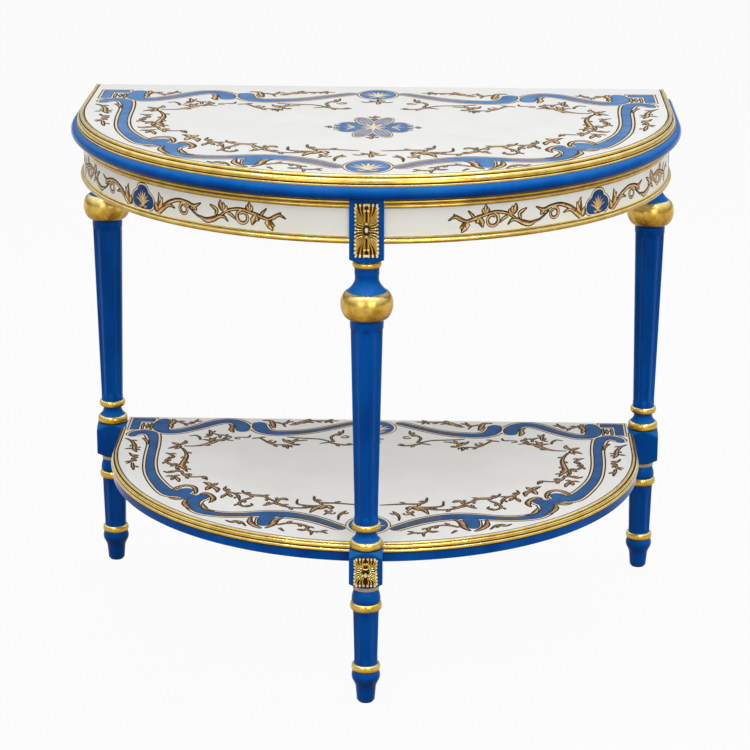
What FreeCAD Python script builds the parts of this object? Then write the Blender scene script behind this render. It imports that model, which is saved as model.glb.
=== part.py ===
import FreeCAD, Part
import math
import os
import re

import Sketcher

# Half-round side table with straight sides, three turned legs and a lower shelf.
# Frame: +Z up, floor at zero, front towards -Y, origin under the middle of the top's box.
# All lengths are millimetres.

DRIVING_SIZES = {
    # Top: white panel, gilt moulding on a blue half-round nosing
    "table_height": 780,
    "top_radius": 457,
    "side_length": 156,
    "panel_drop": 0.6,
    "nose_height": 18,
    "gilt_height": 15,
    "gilt_width": 11,
    # Apron frame
    "rail_height": 62.5,
    "rail_thickness": 20,
    "rail_overhang": 18,
    "upper_bead_height": 13.5,
    "upper_bead_depth": 5,
    "lower_bead_height": 10,
    "lower_bead_depth": 4.5,
    "back_rail_recess": 6,
    "tenon_length": 18,
    "tenon_thickness": 8,
    "tenon_height": 45,
    # Places of the legs under the top
    "leg_inset": 31,
    "front_leg_inset": 36.7,
    "rear_setback": 13.5,
    # Square blocks of the legs
    "block_width": 47.5,
    "block_drop": 28.5,
    "upper_shoulder": 7,
    "lower_shoulder": 9,
    "block_height": 56,
    # Upper turning, from its top block downwards
    "cap_ring_height": 9,
    "cap_ring_radius": 20.3,
    "neck_length": 9,
    "neck_radius": 17.2,
    "flare_height": 25,
    "crown_radius": 27.5,
    "ball_height": 39,
    "ball_radius": 36.6,
    "ball_seat_radius": 25,
    "seat_height": 5,
    "shaft_head_radius": 23.5,
    "shaft_foot_radius": 17,
    "ring_height": 10,
    "ring_radius": 20.8,
    "cove_height": 15,
    "cove_radius": 15,
    "collar_height": 13,
    "collar_radius": 23.8,
    "spigot_radius": 10,
    "spigot_length": 32,
    "socket_clearance": 1,
    # Lower turning, from the floor upwards
    "foot_height": 49,
    "foot_tip_radius": 13.2,
    "foot_waist_radius": 15.2,
    "foot_waist_level": 26,
    "foot_bulb_radius": 21,
    "foot_neck_radius": 18.2,
    "anklet_height": 11,
    "anklet_radius": 21,
    "ankle_length": 83,
    "ankle_foot_radius": 17.3,
    "ankle_head_radius": 19.2,
    "garter_height": 12,
    "garter_radius": 23.2,
    "cushion_height": 20,
    "cushion_radius": 20,
    "throat_radius": 15,
    "fillet_height": 5,
    "fillet_radius": 18.8,
    # Flutes of both shafts
    "flute_radius": 9,
    "flute_head_depth": 2.2,
    "flute_foot_depth": 1.5,
    "flute_margin": 10,
    "ankle_flute_radius": 7,
    "ankle_flute_depth": 1.5,
    "ankle_flute_margin": 7,
    # Carved plaques of the front leg
    "plaque_width": 33,
    "upper_plaque_height": 75.5,
    "lower_plaque_height": 43,
    "plaque_thickness": 2.5,
    "upper_plaque_rise": 10.5,
    "boss_radius": 6,
    "boss_height": 3,
    "petal_reach": 14,
    "petal_width": 6,
    "petal_height": 1.6,
    # Shelf
    "shelf_drop": 0.5,
    "shelf_thickness": 27,
    "shelf_gilt_height": 14,
    "shelf_gilt_width": 8.75,
    "shelf_lap": 11,
    "band_recess": 1.5,
    "dowel_radius": 4,
    "dowel_in_block": 12,
    "dowel_in_panel": 20,
    "dowel_spacing": 24,
    # Blocks and screws that hold the top down
    "fixing_block_width": 26,
    "fixing_block_length": 44,
    "fixing_block_height": 30,
    "back_block_place": 210,
    "screw_radius": 2,
    "screw_head_radius": 4,
    "screw_head_height": 3,
    "screw_in_top": 16,
    # One overrun serves every cut
    "overrun": 5,
}

FLUTE_COUNT = 8
PETAL_COUNT = 8

# Mouldings: across share, up share and, where the next stretch is a bead or hollow, its rise share.
top_gilt_shares = [
    (0, 0, 0), (1, 0, 0), (1, 0.2, 0), (0.9, 0.26, 0.16),
    (0.6, 0.76, 0), (0.52, 0.85, 0.15), (0.04, 0.85, 0), (0, 0.85, 0),
]
upper_bead_shares = [
    (0, 0, 0), (0.35, 0, 0), (0.35, 0.08, 0.3),
    (0.45, 0.58, 0), (0.6, 0.64, 0.09), (0.95, 0.94, 0), (0.95, 1, 0), (0, 1, 0),
]
lower_bead_shares = [
    (0, 0, 0), (0.7, 0, 0), (0.7, 0.14, 0.26), (0.55, 0.84, 0), (0.3, 1, 0), (0, 1, 0),
]
shelf_gilt_shares = [
    (0, 0, 0), (0.86, 0, 0), (0.86, 0.04, 0.1), (0.86, 0.24, 0), (0.8, 0.27, 0.2),
    (0.72, 0.72, 0), (0.62, 0.76, 0.08), (0.4, 0.96, 0), (0.36, 1, 0), (0, 1, 0),
]

# Turned details, as shares of the stretch that they shape
ring_rise_share = 0.3
cove_hollow_share = 0.15
seat_hollow_share = 0.12
flare_hollow_share = 0.2
cushion_rise_share = 0.15
petal_root_share = 0.5

doc = FreeCAD.newDocument("demilune_table")
sheet = doc.addObject("Spreadsheet::Sheet", "sizes")
for row, (alias, size) in enumerate(DRIVING_SIZES.items(), start=1):
    sheet.set(f"A{row}", alias)
    sheet.set(f"B{row}", str(size))
    sheet.setAlias(f"B{row}", alias)
doc.recompute()

# Worked-out places, written in the names of the driving sizes
back_y = "((side_length + top_radius) / 2)"
arc_y = f"({back_y} - side_length)"
nose_base = "(table_height - gilt_height - nose_height)"
gilt_base = "(table_height - gilt_height)"
panel_radius = "(top_radius - nose_height / 2 - gilt_width)"
rail_radius = "(top_radius - rail_overhang)"
rail_base = f"({nose_base} - rail_height)"
upper_block_base = f"({rail_base} - block_drop)"
half_block = "(block_width / 2)"
leg_x = "(top_radius - leg_inset)"
rear_leg_y = f"({back_y} - rear_setback - {half_block})"
front_leg_y = f"({arc_y} - top_radius + front_leg_inset)"
block_front_y = f"({rear_leg_y} - {half_block})"
back_rail_y = f"({back_y} - rear_setback - back_rail_recess - rail_thickness / 2)"
tenon_base = f"({rail_base} + (rail_height - tenon_height) / 2)"
lower_block_base = (
    "(foot_height + anklet_height + ankle_length + garter_height + cushion_height + fillet_height)"
)
lower_block_top = f"({lower_block_base} + block_height)"
shelf_top = f"({lower_block_top} - shelf_drop)"
shelf_base = f"({shelf_top} - shelf_thickness)"
shelf_gilt_base = f"({shelf_top} - shelf_gilt_height)"
shelf_panel_radius = f"({leg_x} - {half_block})"
shelf_radius = f"({shelf_panel_radius} + shelf_gilt_width)"
shelf_arc_y = f"({front_leg_y} + {half_block} - shelf_lap + {shelf_radius})"
shelf_back_y = f"({back_y} - rear_setback)"
dowel_level = f"({shelf_base} + shelf_thickness / 2)"

FUNCTIONS = {"sqrt", "atan", "cos", "sin"}


def bound(text):
    """The expression with every size name pointing at the sheet."""
    return re.sub(
        r"[a-z][a-z_]+",
        lambda word: word.group() if word.group() in FUNCTIONS else f"sizes.{word.group()}",
        text,
    )


def value(text):
    """What an expression comes to now."""
    result = sheet.evalExpression(text)
    return float(getattr(result, "Value", result))


def bind(item, **expressions):
    """Tie properties to expressions; two underscores stand for a dot in a property's path."""
    for path, text in expressions.items():
        item.setExpression(path.replace("__", "."), bound(text))


def new_body(label):
    body = doc.addObject("PartDesign::Body", label)
    body.Label = label
    return body


def origin_feature(body, role):
    return next(item for item in body.Origin.OriginFeatures if item.Role == role)


def new_sketch(body, plane, **offsets):
    """A sketch on one of the body's own planes, shifted by expressions for x, y and z."""
    sketch = body.newObject("Sketcher::SketchObject", f"{body.Name}_sketch")
    sketch.AttachmentSupport = [(origin_feature(body, plane), "")]
    sketch.MapMode = "FlatFace"
    for axis, text in offsets.items():
        bind(sketch, **{f"AttachmentOffset__Base__{axis}": text})
    return sketch


def add_outline(sketch, corners):
    """A closed outline. Each corner is (x, y, rise): expressions, with the rise of the arc that
    follows the corner, to the right of the way round, or "0" where a straight line follows."""
    places = [FreeCAD.Vector(value(x), value(y), 0) for x, y, rise in corners]
    edges = []
    for index, (x, y, rise) in enumerate(corners):
        start = places[index]
        end = places[(index + 1) % len(places)]
        height = value(rise)
        if height == 0:
            edges.append(sketch.addGeometry(Part.LineSegment(start, end), False))
            continue
        way = end - start
        across = FreeCAD.Vector(way.y, -way.x, 0).normalize()
        middle = (start + end) / 2 + across * height
        edges.append(sketch.addGeometry(Part.Arc(start, middle, end), False))
    ends = []
    for index, edge in enumerate(edges):
        first_is_start = sketch.getPoint(edge, 1).distanceToPoint(places[index]) < (
            sketch.getPoint(edge, 2).distanceToPoint(places[index])
        )
        ends.append((1, 2) if first_is_start else (2, 1))
    for index, (x, y, rise) in enumerate(corners):
        edge = edges[index]
        start = ends[index][0]
        previous = edges[index - 1]
        sketch.addConstraint(
            Sketcher.Constraint("Coincident", previous, ends[index - 1][1], edge, start)
        )
        for kind, text in (("DistanceX", x), ("DistanceY", y)):
            place = value(text)
            number = sketch.addConstraint(Sketcher.Constraint(kind, -1, 1, edge, start, place))
            sketch.setExpression(f"Constraints[{number}]", bound(text))
        if value(rise) != 0:
            next_x, next_y, unused = corners[(index + 1) % len(corners)]
            chord = f"sqrt(({next_x} - ({x}))^2 + ({next_y} - ({y}))^2)"
            shift = f"((({rise})^2 - {chord}^2 / 4) / (2 * ({rise}) * {chord}))"
            steep = abs(value(next_y) - value(y)) > abs(value(next_x) - value(x))
            if steep:
                kind = "DistanceX"
                text = f"({x} + {next_x}) / 2 + ({next_y} - ({y})) * {shift}"
            else:
                kind = "DistanceY"
                text = f"({y} + {next_y}) / 2 - ({next_x} - ({x})) * {shift}"
            number = sketch.addConstraint(Sketcher.Constraint(kind, -1, 1, edge, 3, value(text)))
            sketch.setExpression(f"Constraints[{number}]", bound(text))
    return sketch


def add_circle(sketch, x, y, radius):
    centre = FreeCAD.Vector(value(x), value(y), 0)
    circle = sketch.addGeometry(
        Part.Circle(centre, FreeCAD.Vector(0, 0, 1), value(radius)), False
    )
    for kind, text in (("DistanceX", x), ("DistanceY", y)):
        number = sketch.addConstraint(Sketcher.Constraint(kind, -1, 1, circle, 3, value(text)))
        sketch.setExpression(f"Constraints[{number}]", bound(text))
    number = sketch.addConstraint(Sketcher.Constraint("Radius", circle, value(radius)))
    sketch.setExpression(f"Constraints[{number}]", bound(radius))
    return sketch


def rectangle(left, right, low, high):
    return [(left, low, "0"), (right, low, "0"), (right, high, "0"), (left, high, "0")]


def add_pad(body, sketch, length, **settings):
    pad = body.newObject("PartDesign::Pad", f"{body.Name}_pad")
    pad.Profile = sketch
    bind(pad, Length=length)
    for name, setting in settings.items():
        setattr(pad, name, setting)
    return pad


def add_cut_through(body, sketch):
    """Cut a sketch right through the body, both ways."""
    pocket = body.newObject("PartDesign::Pocket", f"{body.Name}_pocket")
    pocket.Profile = sketch
    pocket.Type = "ThroughAll"
    pocket.Midplane = True
    return pocket


def add_turn(body, sketch, angle, **settings):
    """Turn a sketch about its own upright axis."""
    turn = body.newObject("PartDesign::Revolution", f"{body.Name}_turn")
    turn.Profile = sketch
    turn.ReferenceAxis = (sketch, ["V_Axis"])
    turn.Angle = angle
    for name, setting in settings.items():
        setattr(turn, name, setting)
    return turn


def add_block(body, kind, x, y, z, length, width, height):
    """A box added to or cut from a body, from its lowest corner."""
    box = body.newObject(f"PartDesign::{kind}Box", f"{body.Name}_box")
    bind(box, Length=length, Width=width, Height=height)
    bind(box, Placement__Base__x=x, Placement__Base__y=y, Placement__Base__z=z)
    return box


def add_bore(body, x, y, z, radius, length, direction):
    """A round hole from a point along a direction."""
    bore = body.newObject("PartDesign::SubtractiveCylinder", f"{body.Name}_bore")
    bind(bore, Radius=radius, Height=length)
    bore.Placement = FreeCAD.Placement(
        FreeCAD.Vector(), FreeCAD.Rotation(FreeCAD.Vector(0, 0, 1), FreeCAD.Vector(*direction))
    )
    bind(bore, Placement__Base__x=x, Placement__Base__y=y, Placement__Base__z=z)
    return bore


def add_mirror(body, feature, plane):
    mirror = body.newObject("PartDesign::Mirrored", f"{body.Name}_mirror")
    mirror.Originals = [feature]
    mirror.MirrorPlane = (origin_feature(body, plane), [""])
    body.Tip = mirror
    return mirror


def add_ring_pattern(body, feature, count, axis):
    pattern = body.newObject("PartDesign::PolarPattern", f"{body.Name}_pattern")
    pattern.Originals = [feature]
    pattern.Axis = (origin_feature(body, axis), [""])
    pattern.Angle = 360
    pattern.Occurrences = count
    body.Tip = pattern
    return pattern


def moulding_corners(shares, inner, base, width, height):
    """A moulding's outline from its table of shares."""
    return [
        (f"{inner} + {width} * {across}", f"{base} + {height} * {up}", f"{height} * {rise}")
        for across, up, rise in shares
    ]


def d_outline(radius, centre_y, back):
    """Half-round outline with straight sides that run back."""
    return [
        (f"-{radius}", back, "0"),
        (f"-{radius}", centre_y, radius),
        (radius, centre_y, "0"),
        (radius, back, "0"),
    ]


parts = []


def hand_over(item):
    parts.append(item)
    return item


# Top

def fixing_places():
    """Middle of each fixing block: beside the straight rails, before the back rail, behind the front leg."""
    side_x = f"({rail_radius} - rail_thickness - fixing_block_width / 2)"
    side_y = f"(({block_front_y} + {arc_y}) / 2)"
    back_block_y = f"({back_rail_y} - rail_thickness / 2 - fixing_block_width / 2)"
    front_y = f"({front_leg_y} + {half_block} + fixing_block_width / 2)"
    along_y = ("fixing_block_width", "fixing_block_length")
    along_x = ("fixing_block_length", "fixing_block_width")
    return [
        (f"-{side_x}", side_y, along_y),
        (side_x, side_y, along_y),
        ("-back_block_place", back_block_y, along_x),
        ("back_block_place", back_block_y, along_x),
        ("0", front_y, along_x),
    ]


def make_top_panel():
    body = new_body("top_panel")
    outline = add_outline(new_sketch(body, "XY_Plane", z=nose_base), d_outline(panel_radius, arc_y, back_y))
    add_pad(body, outline, f"table_height - panel_drop - {nose_base}")
    for x, y, size in fixing_places():
        add_bore(body, x, y, nose_base, "screw_radius", "screw_in_top", (0, 0, 1))
    return body


def swept_round_the_top(label, corners):
    """A section that follows the whole edge: straight side, half round, straight side."""
    body = new_body(label)
    section = add_outline(new_sketch(body, "XZ_Plane", z=f"-{arc_y}"), corners)
    add_turn(body, section, 180, Reversed=True)
    side = add_pad(body, section, "side_length", Reversed=True)
    add_mirror(body, side, "YZ_Plane")
    return body


def make_top_gilt_moulding():
    corners = moulding_corners(top_gilt_shares, panel_radius, gilt_base, "gilt_width", "gilt_height")
    return swept_round_the_top("top_gilt_moulding", corners)


def make_top_nosing():
    straight = "(top_radius - nose_height / 2)"
    corners = [
        (panel_radius, nose_base, "0"),
        (straight, nose_base, "nose_height / 2"),
        (straight, gilt_base, "0"),
        (panel_radius, gilt_base, "0"),
    ]
    return swept_round_the_top("top_nosing", corners)


# Apron frame

def signed(side, text):
    return text if side > 0 else f"-({text})"


def side_name(side):
    return "right" if side > 0 else "left"


def make_side_rail(side):
    """Curved rail between a rear leg and the front leg, with a tenon at each end."""
    body = new_body(f"side_rail_{side_name(side)}")
    inner = f"({rail_radius} - rail_thickness)"
    outer_end = f"({arc_y} - sqrt({rail_radius}^2 - {half_block}^2))"
    inner_end = f"({arc_y} - sqrt({inner}^2 - {half_block}^2))"

    def sagitta(radius):
        chord = f"sqrt(({radius} - {half_block})^2 + {radius}^2 - {half_block}^2)"
        return f"({radius} - sqrt({radius}^2 - {chord}^2 / 4))"

    corners = [
        (signed(side, half_block), outer_end, signed(side, sagitta(rail_radius))),
        (signed(side, rail_radius), arc_y, "0"),
        (signed(side, rail_radius), block_front_y, "0"),
        (signed(side, inner), block_front_y, "0"),
        (signed(side, inner), arc_y, signed(-side, sagitta(inner))),
        (signed(side, half_block), inner_end, "0"),
    ]
    add_pad(body, add_outline(new_sketch(body, "XY_Plane", z=rail_base), corners), "rail_height")
    middle = f"({rail_radius} - rail_thickness / 2)"
    root = "rail_thickness / 2"
    front_low = f"{half_block} - tenon_length"
    front_x = front_low if side > 0 else f"-{half_block} - {root}"
    add_block(
        body, "Additive", front_x, f"{arc_y} - {middle} - tenon_thickness / 2", tenon_base,
        f"tenon_length + {root}", "tenon_thickness", "tenon_height",
    )
    add_block(
        body, "Additive", f"{signed(side, middle)} - tenon_thickness / 2", f"{block_front_y} - {root}",
        tenon_base, "tenon_thickness", f"tenon_length + {root}", "tenon_height",
    )
    return body


def swept_along_the_rail(label, side, corners, centre_y):
    """A section that runs from a rear leg's block to the side of the front leg's block."""
    body = new_body(label)
    signed_corners = [(signed(side, x), y, signed(side, rise)) for x, y, rise in corners]
    section = add_outline(new_sketch(body, "XZ_Plane", z=f"-{centre_y}"), signed_corners)
    add_turn(body, section, 90, Reversed=side > 0)
    add_pad(body, section, f"{block_front_y} - {centre_y}", Reversed=True)
    block = new_sketch(body, "XY_Plane")
    front_y = f"({front_leg_y} - {half_block} - overrun)"
    add_outline(block, rectangle(f"-{half_block}", half_block, front_y, f"{front_leg_y} + {half_block}"))
    add_cut_through(body, block)
    return body


def make_rail_beads(side):
    upper_base = f"({nose_base} - upper_bead_height)"
    upper = moulding_corners(
        upper_bead_shares, rail_radius, upper_base, "upper_bead_depth", "upper_bead_height"
    )
    lower = moulding_corners(
        lower_bead_shares, rail_radius, rail_base, "lower_bead_depth", "lower_bead_height"
    )
    return [
        swept_along_the_rail(f"rail_upper_bead_{side_name(side)}", side, upper, arc_y),
        swept_along_the_rail(f"rail_lower_bead_{side_name(side)}", side, lower, arc_y),
    ]


def make_back_rail():
    body = new_body("back_rail")
    half_length = f"({leg_x} - {half_block})"
    low_y = f"({back_rail_y} - rail_thickness / 2)"
    add_block(
        body, "Additive", f"-{half_length}", low_y, rail_base,
        f"2 * {half_length}", "rail_thickness", "rail_height",
    )
    add_block(
        body, "Additive", f"-{half_length} - tenon_length", f"{back_rail_y} - tenon_thickness / 2",
        tenon_base, f"2 * ({half_length} + tenon_length)", "tenon_thickness", "tenon_height",
    )
    return body


def make_fixing_blocks():
    """Blocks glued inside the frame, each bored for one screw."""
    solids = []
    for number, (x, y, (width, length)) in enumerate(fixing_places()):
        box = doc.addObject("Part::Box", f"fixing_block_{number}")
        bind(box, Length=width, Width=length, Height="fixing_block_height")
        bind(box, Placement__Base__x=f"{x} - {width} / 2", Placement__Base__y=f"{y} - {length} / 2")
        bind(box, Placement__Base__z=f"{nose_base} - fixing_block_height")
        screw = screw_solid(f"fixing_bore_{number}", x, y)
        bored = doc.addObject("Part::Cut", f"bored_block_{number}")
        bored.Base = box
        bored.Tool = screw
        solids.append(bored)
    return group_of("fixing_blocks", solids)


def group_of(label, solids):
    group = doc.addObject("Part::Compound", label)
    group.Label = label
    group.Links = solids
    return group


def screw_solid(name, x, y):
    """Countersunk screw: its head flush under the block, its shank through it into the top."""
    head = doc.addObject("Part::Cone", f"{name}_head")
    bind(head, Radius1="screw_head_radius", Radius2="screw_radius", Height="screw_head_height")
    shank = doc.addObject("Part::Cylinder", f"{name}_shank")
    bind(shank, Radius="screw_radius", Height="fixing_block_height - screw_head_height + screw_in_top")
    head_z = f"({nose_base} - fixing_block_height)"
    for solid, z in ((head, head_z), (shank, f"{head_z} + screw_head_height")):
        bind(solid, Placement__Base__x=x, Placement__Base__y=y, Placement__Base__z=z)
    screw = doc.addObject("Part::Fuse", name)
    screw.Base = head
    screw.Tool = shank
    return screw


def make_top_screws():
    places = fixing_places()
    return group_of(
        "top_screws",
        [screw_solid(f"top_screw_{number}", x, y) for number, (x, y, size) in enumerate(places)],
    )


# Legs

def add_flutes(body, head_radius, foot_radius, head_level, foot_level, cutter, head_depth, foot_depth):
    """Eight stopped flutes: a round-ended cutter laid along the taper, repeated round the shaft."""
    head_x = f"({head_radius} + {cutter} - {head_depth})"
    foot_x = f"({foot_radius} + {cutter} - {foot_depth})"
    length = f"({head_level} - {foot_level})"
    sketch = new_sketch(
        body, "XZ_Plane", x=f"({head_x} + {foot_x}) / 2", y=f"({head_level} + {foot_level}) / 2"
    )
    lean = value(f"atan(({head_x} - {foot_x}) / {length})")
    base = sketch.AttachmentOffset.Base
    sketch.AttachmentOffset = FreeCAD.Placement(
        base, FreeCAD.Rotation(FreeCAD.Vector(0, 0, 1), -lean)
    )
    bind(sketch, AttachmentOffset__Base__x=f"({head_x} + {foot_x}) / 2")
    bind(sketch, AttachmentOffset__Base__y=f"({head_level} + {foot_level}) / 2")
    quarter_rise = f"{cutter} * (1 - sqrt(2) / 2)"
    corners = [
        ("0", f"{length} / 2", "0"),
        ("0", f"-{length} / 2", f"-({quarter_rise})"),
        (f"-{cutter}", f"-{length} / 2 + {cutter}", "0"),
        (f"-{cutter}", f"{length} / 2 - {cutter}", f"-({quarter_rise})"),
    ]
    add_outline(sketch, corners)
    groove = body.newObject("PartDesign::Groove", f"{body.Name}_flute")
    groove.Profile = sketch
    groove.ReferenceAxis = (sketch, ["V_Axis"])
    groove.Angle = 360
    add_ring_pattern(body, groove, FLUTE_COUNT, "Z_Axis")


def square_off(body, low, high):
    """Plane a turned stretch down to the four flats of a block."""
    reach = "block_width"
    sketch = new_sketch(body, "XY_Plane", z=low)
    add_outline(sketch, rectangle(f"-{reach}", reach, f"-{reach}", reach))
    add_outline(sketch, rectangle(f"-{half_block}", half_block, f"-{half_block}", half_block))
    pocket = body.newObject("PartDesign::Pocket", f"{body.Name}_flats")
    pocket.Profile = sketch
    bind(pocket, Length=f"{high} - {low}")
    pocket.Reversed = True


def stand(body, x, y):
    bind(body, Placement__Base__x=x, Placement__Base__y=y)


corner_radius = f"({half_block} * sqrt(2))"


def ring_rise(name):
    """How far a half-round ring swells out."""
    return f"({name}_height * {ring_rise_share})"


def ring_seat(name):
    """Radius at the two edges of a half-round ring, which swells out to its full radius."""
    return f"({name}_radius - {ring_rise(name)})"


def make_upper_leg(label, x, y, mortises):
    """Top block, ring, neck, ball, fluted shaft, ring, hollow and collar, with a spigot below."""
    body = new_body(label)
    cap_base = f"({upper_block_base} - cap_ring_height)"
    flare_top = f"({cap_base} - neck_length)"
    ball_top = f"({flare_top} - flare_height)"
    ball_base = f"({ball_top} - ball_height)"
    shaft_top = f"({ball_base} - seat_height)"
    collar_top = f"({lower_block_top} + collar_height)"
    ring_base = f"({collar_top} + cove_height)"
    shaft_base = f"({ring_base} + ring_height)"
    ball_rise = "(ball_radius - (crown_radius + ball_seat_radius) / 2)"
    corners = [
        ("0", f"{lower_block_top} - spigot_length", "0"),
        ("spigot_radius", f"{lower_block_top} - spigot_length", "0"),
        ("spigot_radius", lower_block_top, "0"),
        (ring_seat("collar"), lower_block_top, ring_rise("collar")),
        (ring_seat("collar"), collar_top, f"-cove_height * {cove_hollow_share}"),
        ("cove_radius", ring_base, "0"),
        (ring_seat("ring"), ring_base, ring_rise("ring")),
        (ring_seat("ring"), shaft_base, "0"),
        ("shaft_foot_radius", shaft_base, "0"),
        ("shaft_head_radius", shaft_top, f"-seat_height * {seat_hollow_share}"),
        ("ball_seat_radius", ball_base, ball_rise),
        ("crown_radius", ball_top, f"-flare_height * {flare_hollow_share}"),
        ("neck_radius", flare_top, "0"),
        ("neck_radius", cap_base, "0"),
        (ring_seat("cap_ring"), cap_base, ring_rise("cap_ring")),
        (ring_seat("cap_ring"), upper_block_base, "0"),
        ("cap_ring_radius", upper_block_base, "0"),
        (corner_radius, f"{upper_block_base} + upper_shoulder", "0"),
        (corner_radius, nose_base, "0"),
        ("0", nose_base, "0"),
    ]
    add_turn(body, add_outline(new_sketch(body, "XZ_Plane"), corners), 360)
    square_off(body, upper_block_base, nose_base)
    add_flutes(
        body, "shaft_head_radius", "shaft_foot_radius", f"({shaft_top} - flute_margin)",
        f"({shaft_base} + flute_margin)", "flute_radius", "flute_head_depth", "flute_foot_depth",
    )
    for box in mortises:
        add_block(body, "Subtractive", *box)
    stand(body, x, y)
    return body


def make_lower_leg(label, x, y, bores):
    """Foot, ring, fluted ankle, ring, cushion and the block that carries the shelf."""
    body = new_body(label)
    anklet_top = "(foot_height + anklet_height)"
    ankle_top = f"({anklet_top} + ankle_length)"
    garter_top = f"({ankle_top} + garter_height)"
    cushion_top = f"({garter_top} + cushion_height)"
    socket_base = f"({lower_block_top} - spigot_length - socket_clearance)"
    bulb_rise = "(foot_bulb_radius - (foot_waist_radius + foot_neck_radius) / 2)"
    corners = [
        ("0", "0", "0"),
        ("foot_tip_radius", "0", "0"),
        ("foot_waist_radius", "foot_waist_level", bulb_rise),
        ("foot_neck_radius", "foot_height", "0"),
        (ring_seat("anklet"), "foot_height", ring_rise("anklet")),
        (ring_seat("anklet"), anklet_top, "0"),
        ("ankle_foot_radius", anklet_top, "0"),
        ("ankle_head_radius", ankle_top, "0"),
        (ring_seat("garter"), ankle_top, ring_rise("garter")),
        (ring_seat("garter"), garter_top, "0"),
        ("cushion_radius", garter_top, f"cushion_height * {cushion_rise_share}"),
        ("throat_radius", cushion_top, "0"),
        ("fillet_radius", cushion_top, "0"),
        ("fillet_radius", lower_block_base, "0"),
        (corner_radius, f"{lower_block_base} + lower_shoulder", "0"),
        (corner_radius, f"{lower_block_top} - lower_shoulder", "0"),
        ("collar_radius", lower_block_top, "0"),
        ("spigot_radius", lower_block_top, "0"),
        ("spigot_radius", socket_base, "0"),
        ("0", socket_base, "0"),
    ]
    add_turn(body, add_outline(new_sketch(body, "XZ_Plane"), corners), 360)
    square_off(body, lower_block_base, lower_block_top)
    add_flutes(
        body, "ankle_head_radius", "ankle_foot_radius", f"({ankle_top} - ankle_flute_margin)",
        f"({anklet_top} + ankle_flute_margin)", "ankle_flute_radius", "ankle_flute_depth",
        "ankle_flute_depth",
    )
    for place, direction in bores:
        add_bore(body, *place, "dowel_radius", "dowel_in_block", direction)
    stand(body, x, y)
    return body


def make_legs():
    """Front leg in the middle and a rear leg at each end, each an upper and a lower turning."""
    middle = f"({rail_radius} - rail_thickness / 2)"
    front_mortise_y = f"{arc_y} - {middle} - {front_leg_y} - tenon_thickness / 2"
    sizes = ("tenon_length", "tenon_thickness", "tenon_height")
    front_mortises = [
        (f"{half_block} - tenon_length", front_mortise_y, tenon_base) + sizes,
        (f"-{half_block}", front_mortise_y, tenon_base) + sizes,
    ]
    half_spacing = "(dowel_spacing / 2)"
    front_bores = [
        ((place, half_block, dowel_level), (0, -1, 0)) for place in (half_spacing, f"-{half_spacing}")
    ]
    made = [
        make_upper_leg("upper_leg_front", "0", front_leg_y, front_mortises),
        make_lower_leg("lower_leg_front", "0", front_leg_y, front_bores),
    ]
    for side in (-1, 1):
        rail_x = f"({middle} - {leg_x})"
        side_mortise = (
            f"{signed(side, rail_x)} - tenon_thickness / 2", f"-{half_block}", tenon_base,
            "tenon_thickness", "tenon_length", "tenon_height",
        )
        back_x = f"-{half_block}" if side > 0 else f"{half_block} - tenon_length"
        back_y_local = f"{back_rail_y} - {rear_leg_y} - tenon_thickness / 2"
        back_mortise = (back_x, back_y_local, tenon_base) + sizes
        bores = [
            ((signed(-side, half_block), place, dowel_level), (side, 0, 0))
            for place in (half_spacing, f"-{half_spacing}")
        ]
        place_x = signed(side, leg_x)
        name = side_name(side)
        made.append(make_upper_leg(f"upper_leg_{name}", place_x, rear_leg_y, [side_mortise, back_mortise]))
        made.append(make_lower_leg(f"lower_leg_{name}", place_x, rear_leg_y, bores))
    return made


# Carved plaques

def make_plaque(label, level, height):
    """Bevelled plate with a domed boss and a ring of leaves, on the front face of the front leg."""
    body = new_body(label)
    half_width = "(plaque_width / 2)"
    corners = rectangle(f"-{half_width}", half_width, f"-{height} / 2", f"{height} / 2")
    add_pad(body, add_outline(new_sketch(body, "XZ_Plane"), corners), "plaque_thickness")
    petal = new_sketch(body, "XZ_Plane", z="plaque_thickness")
    root = f"(boss_radius * {petal_root_share})"
    rise = "petal_width / 2"
    add_outline(petal, [(root, "0", rise), ("petal_reach", "0", rise)])
    leaf = add_pad(body, petal, "petal_height")
    add_ring_pattern(body, leaf, PETAL_COUNT, "Y_Axis")
    dome = new_sketch(body, "XZ_Plane", z="plaque_thickness")
    add_circle(dome, "0", "0", "boss_radius")
    add_pad(body, dome, "boss_height")
    bind(body, Placement__Base__y=f"{front_leg_y} - {half_block}", Placement__Base__z=level)
    return body


def make_plaques():
    upper_level = f"({upper_block_base} + upper_plaque_rise + upper_plaque_height / 2)"
    lower_level = f"({lower_block_base} + block_height / 2)"
    return [
        make_plaque("upper_plaque", upper_level, "upper_plaque_height"),
        make_plaque("lower_plaque", lower_level, "lower_plaque_height"),
    ]


# Shelf

def dowel_places():
    """Each dowel's start inside a block, with its direction into the shelf."""
    half_spacing = "(dowel_spacing / 2)"
    inner = f"({leg_x} - {half_block})"
    places = []
    for sign in ("", "-"):
        shift = f"{sign}{half_spacing}"
        places.append((f"{inner} + dowel_in_block", f"{rear_leg_y} + {shift}", (-1, 0, 0)))
        places.append((f"-{inner} - dowel_in_block", f"{rear_leg_y} + {shift}", (1, 0, 0)))
        places.append((shift, f"{front_leg_y} + {half_block} - dowel_in_block", (0, 1, 0)))
    return places


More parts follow.
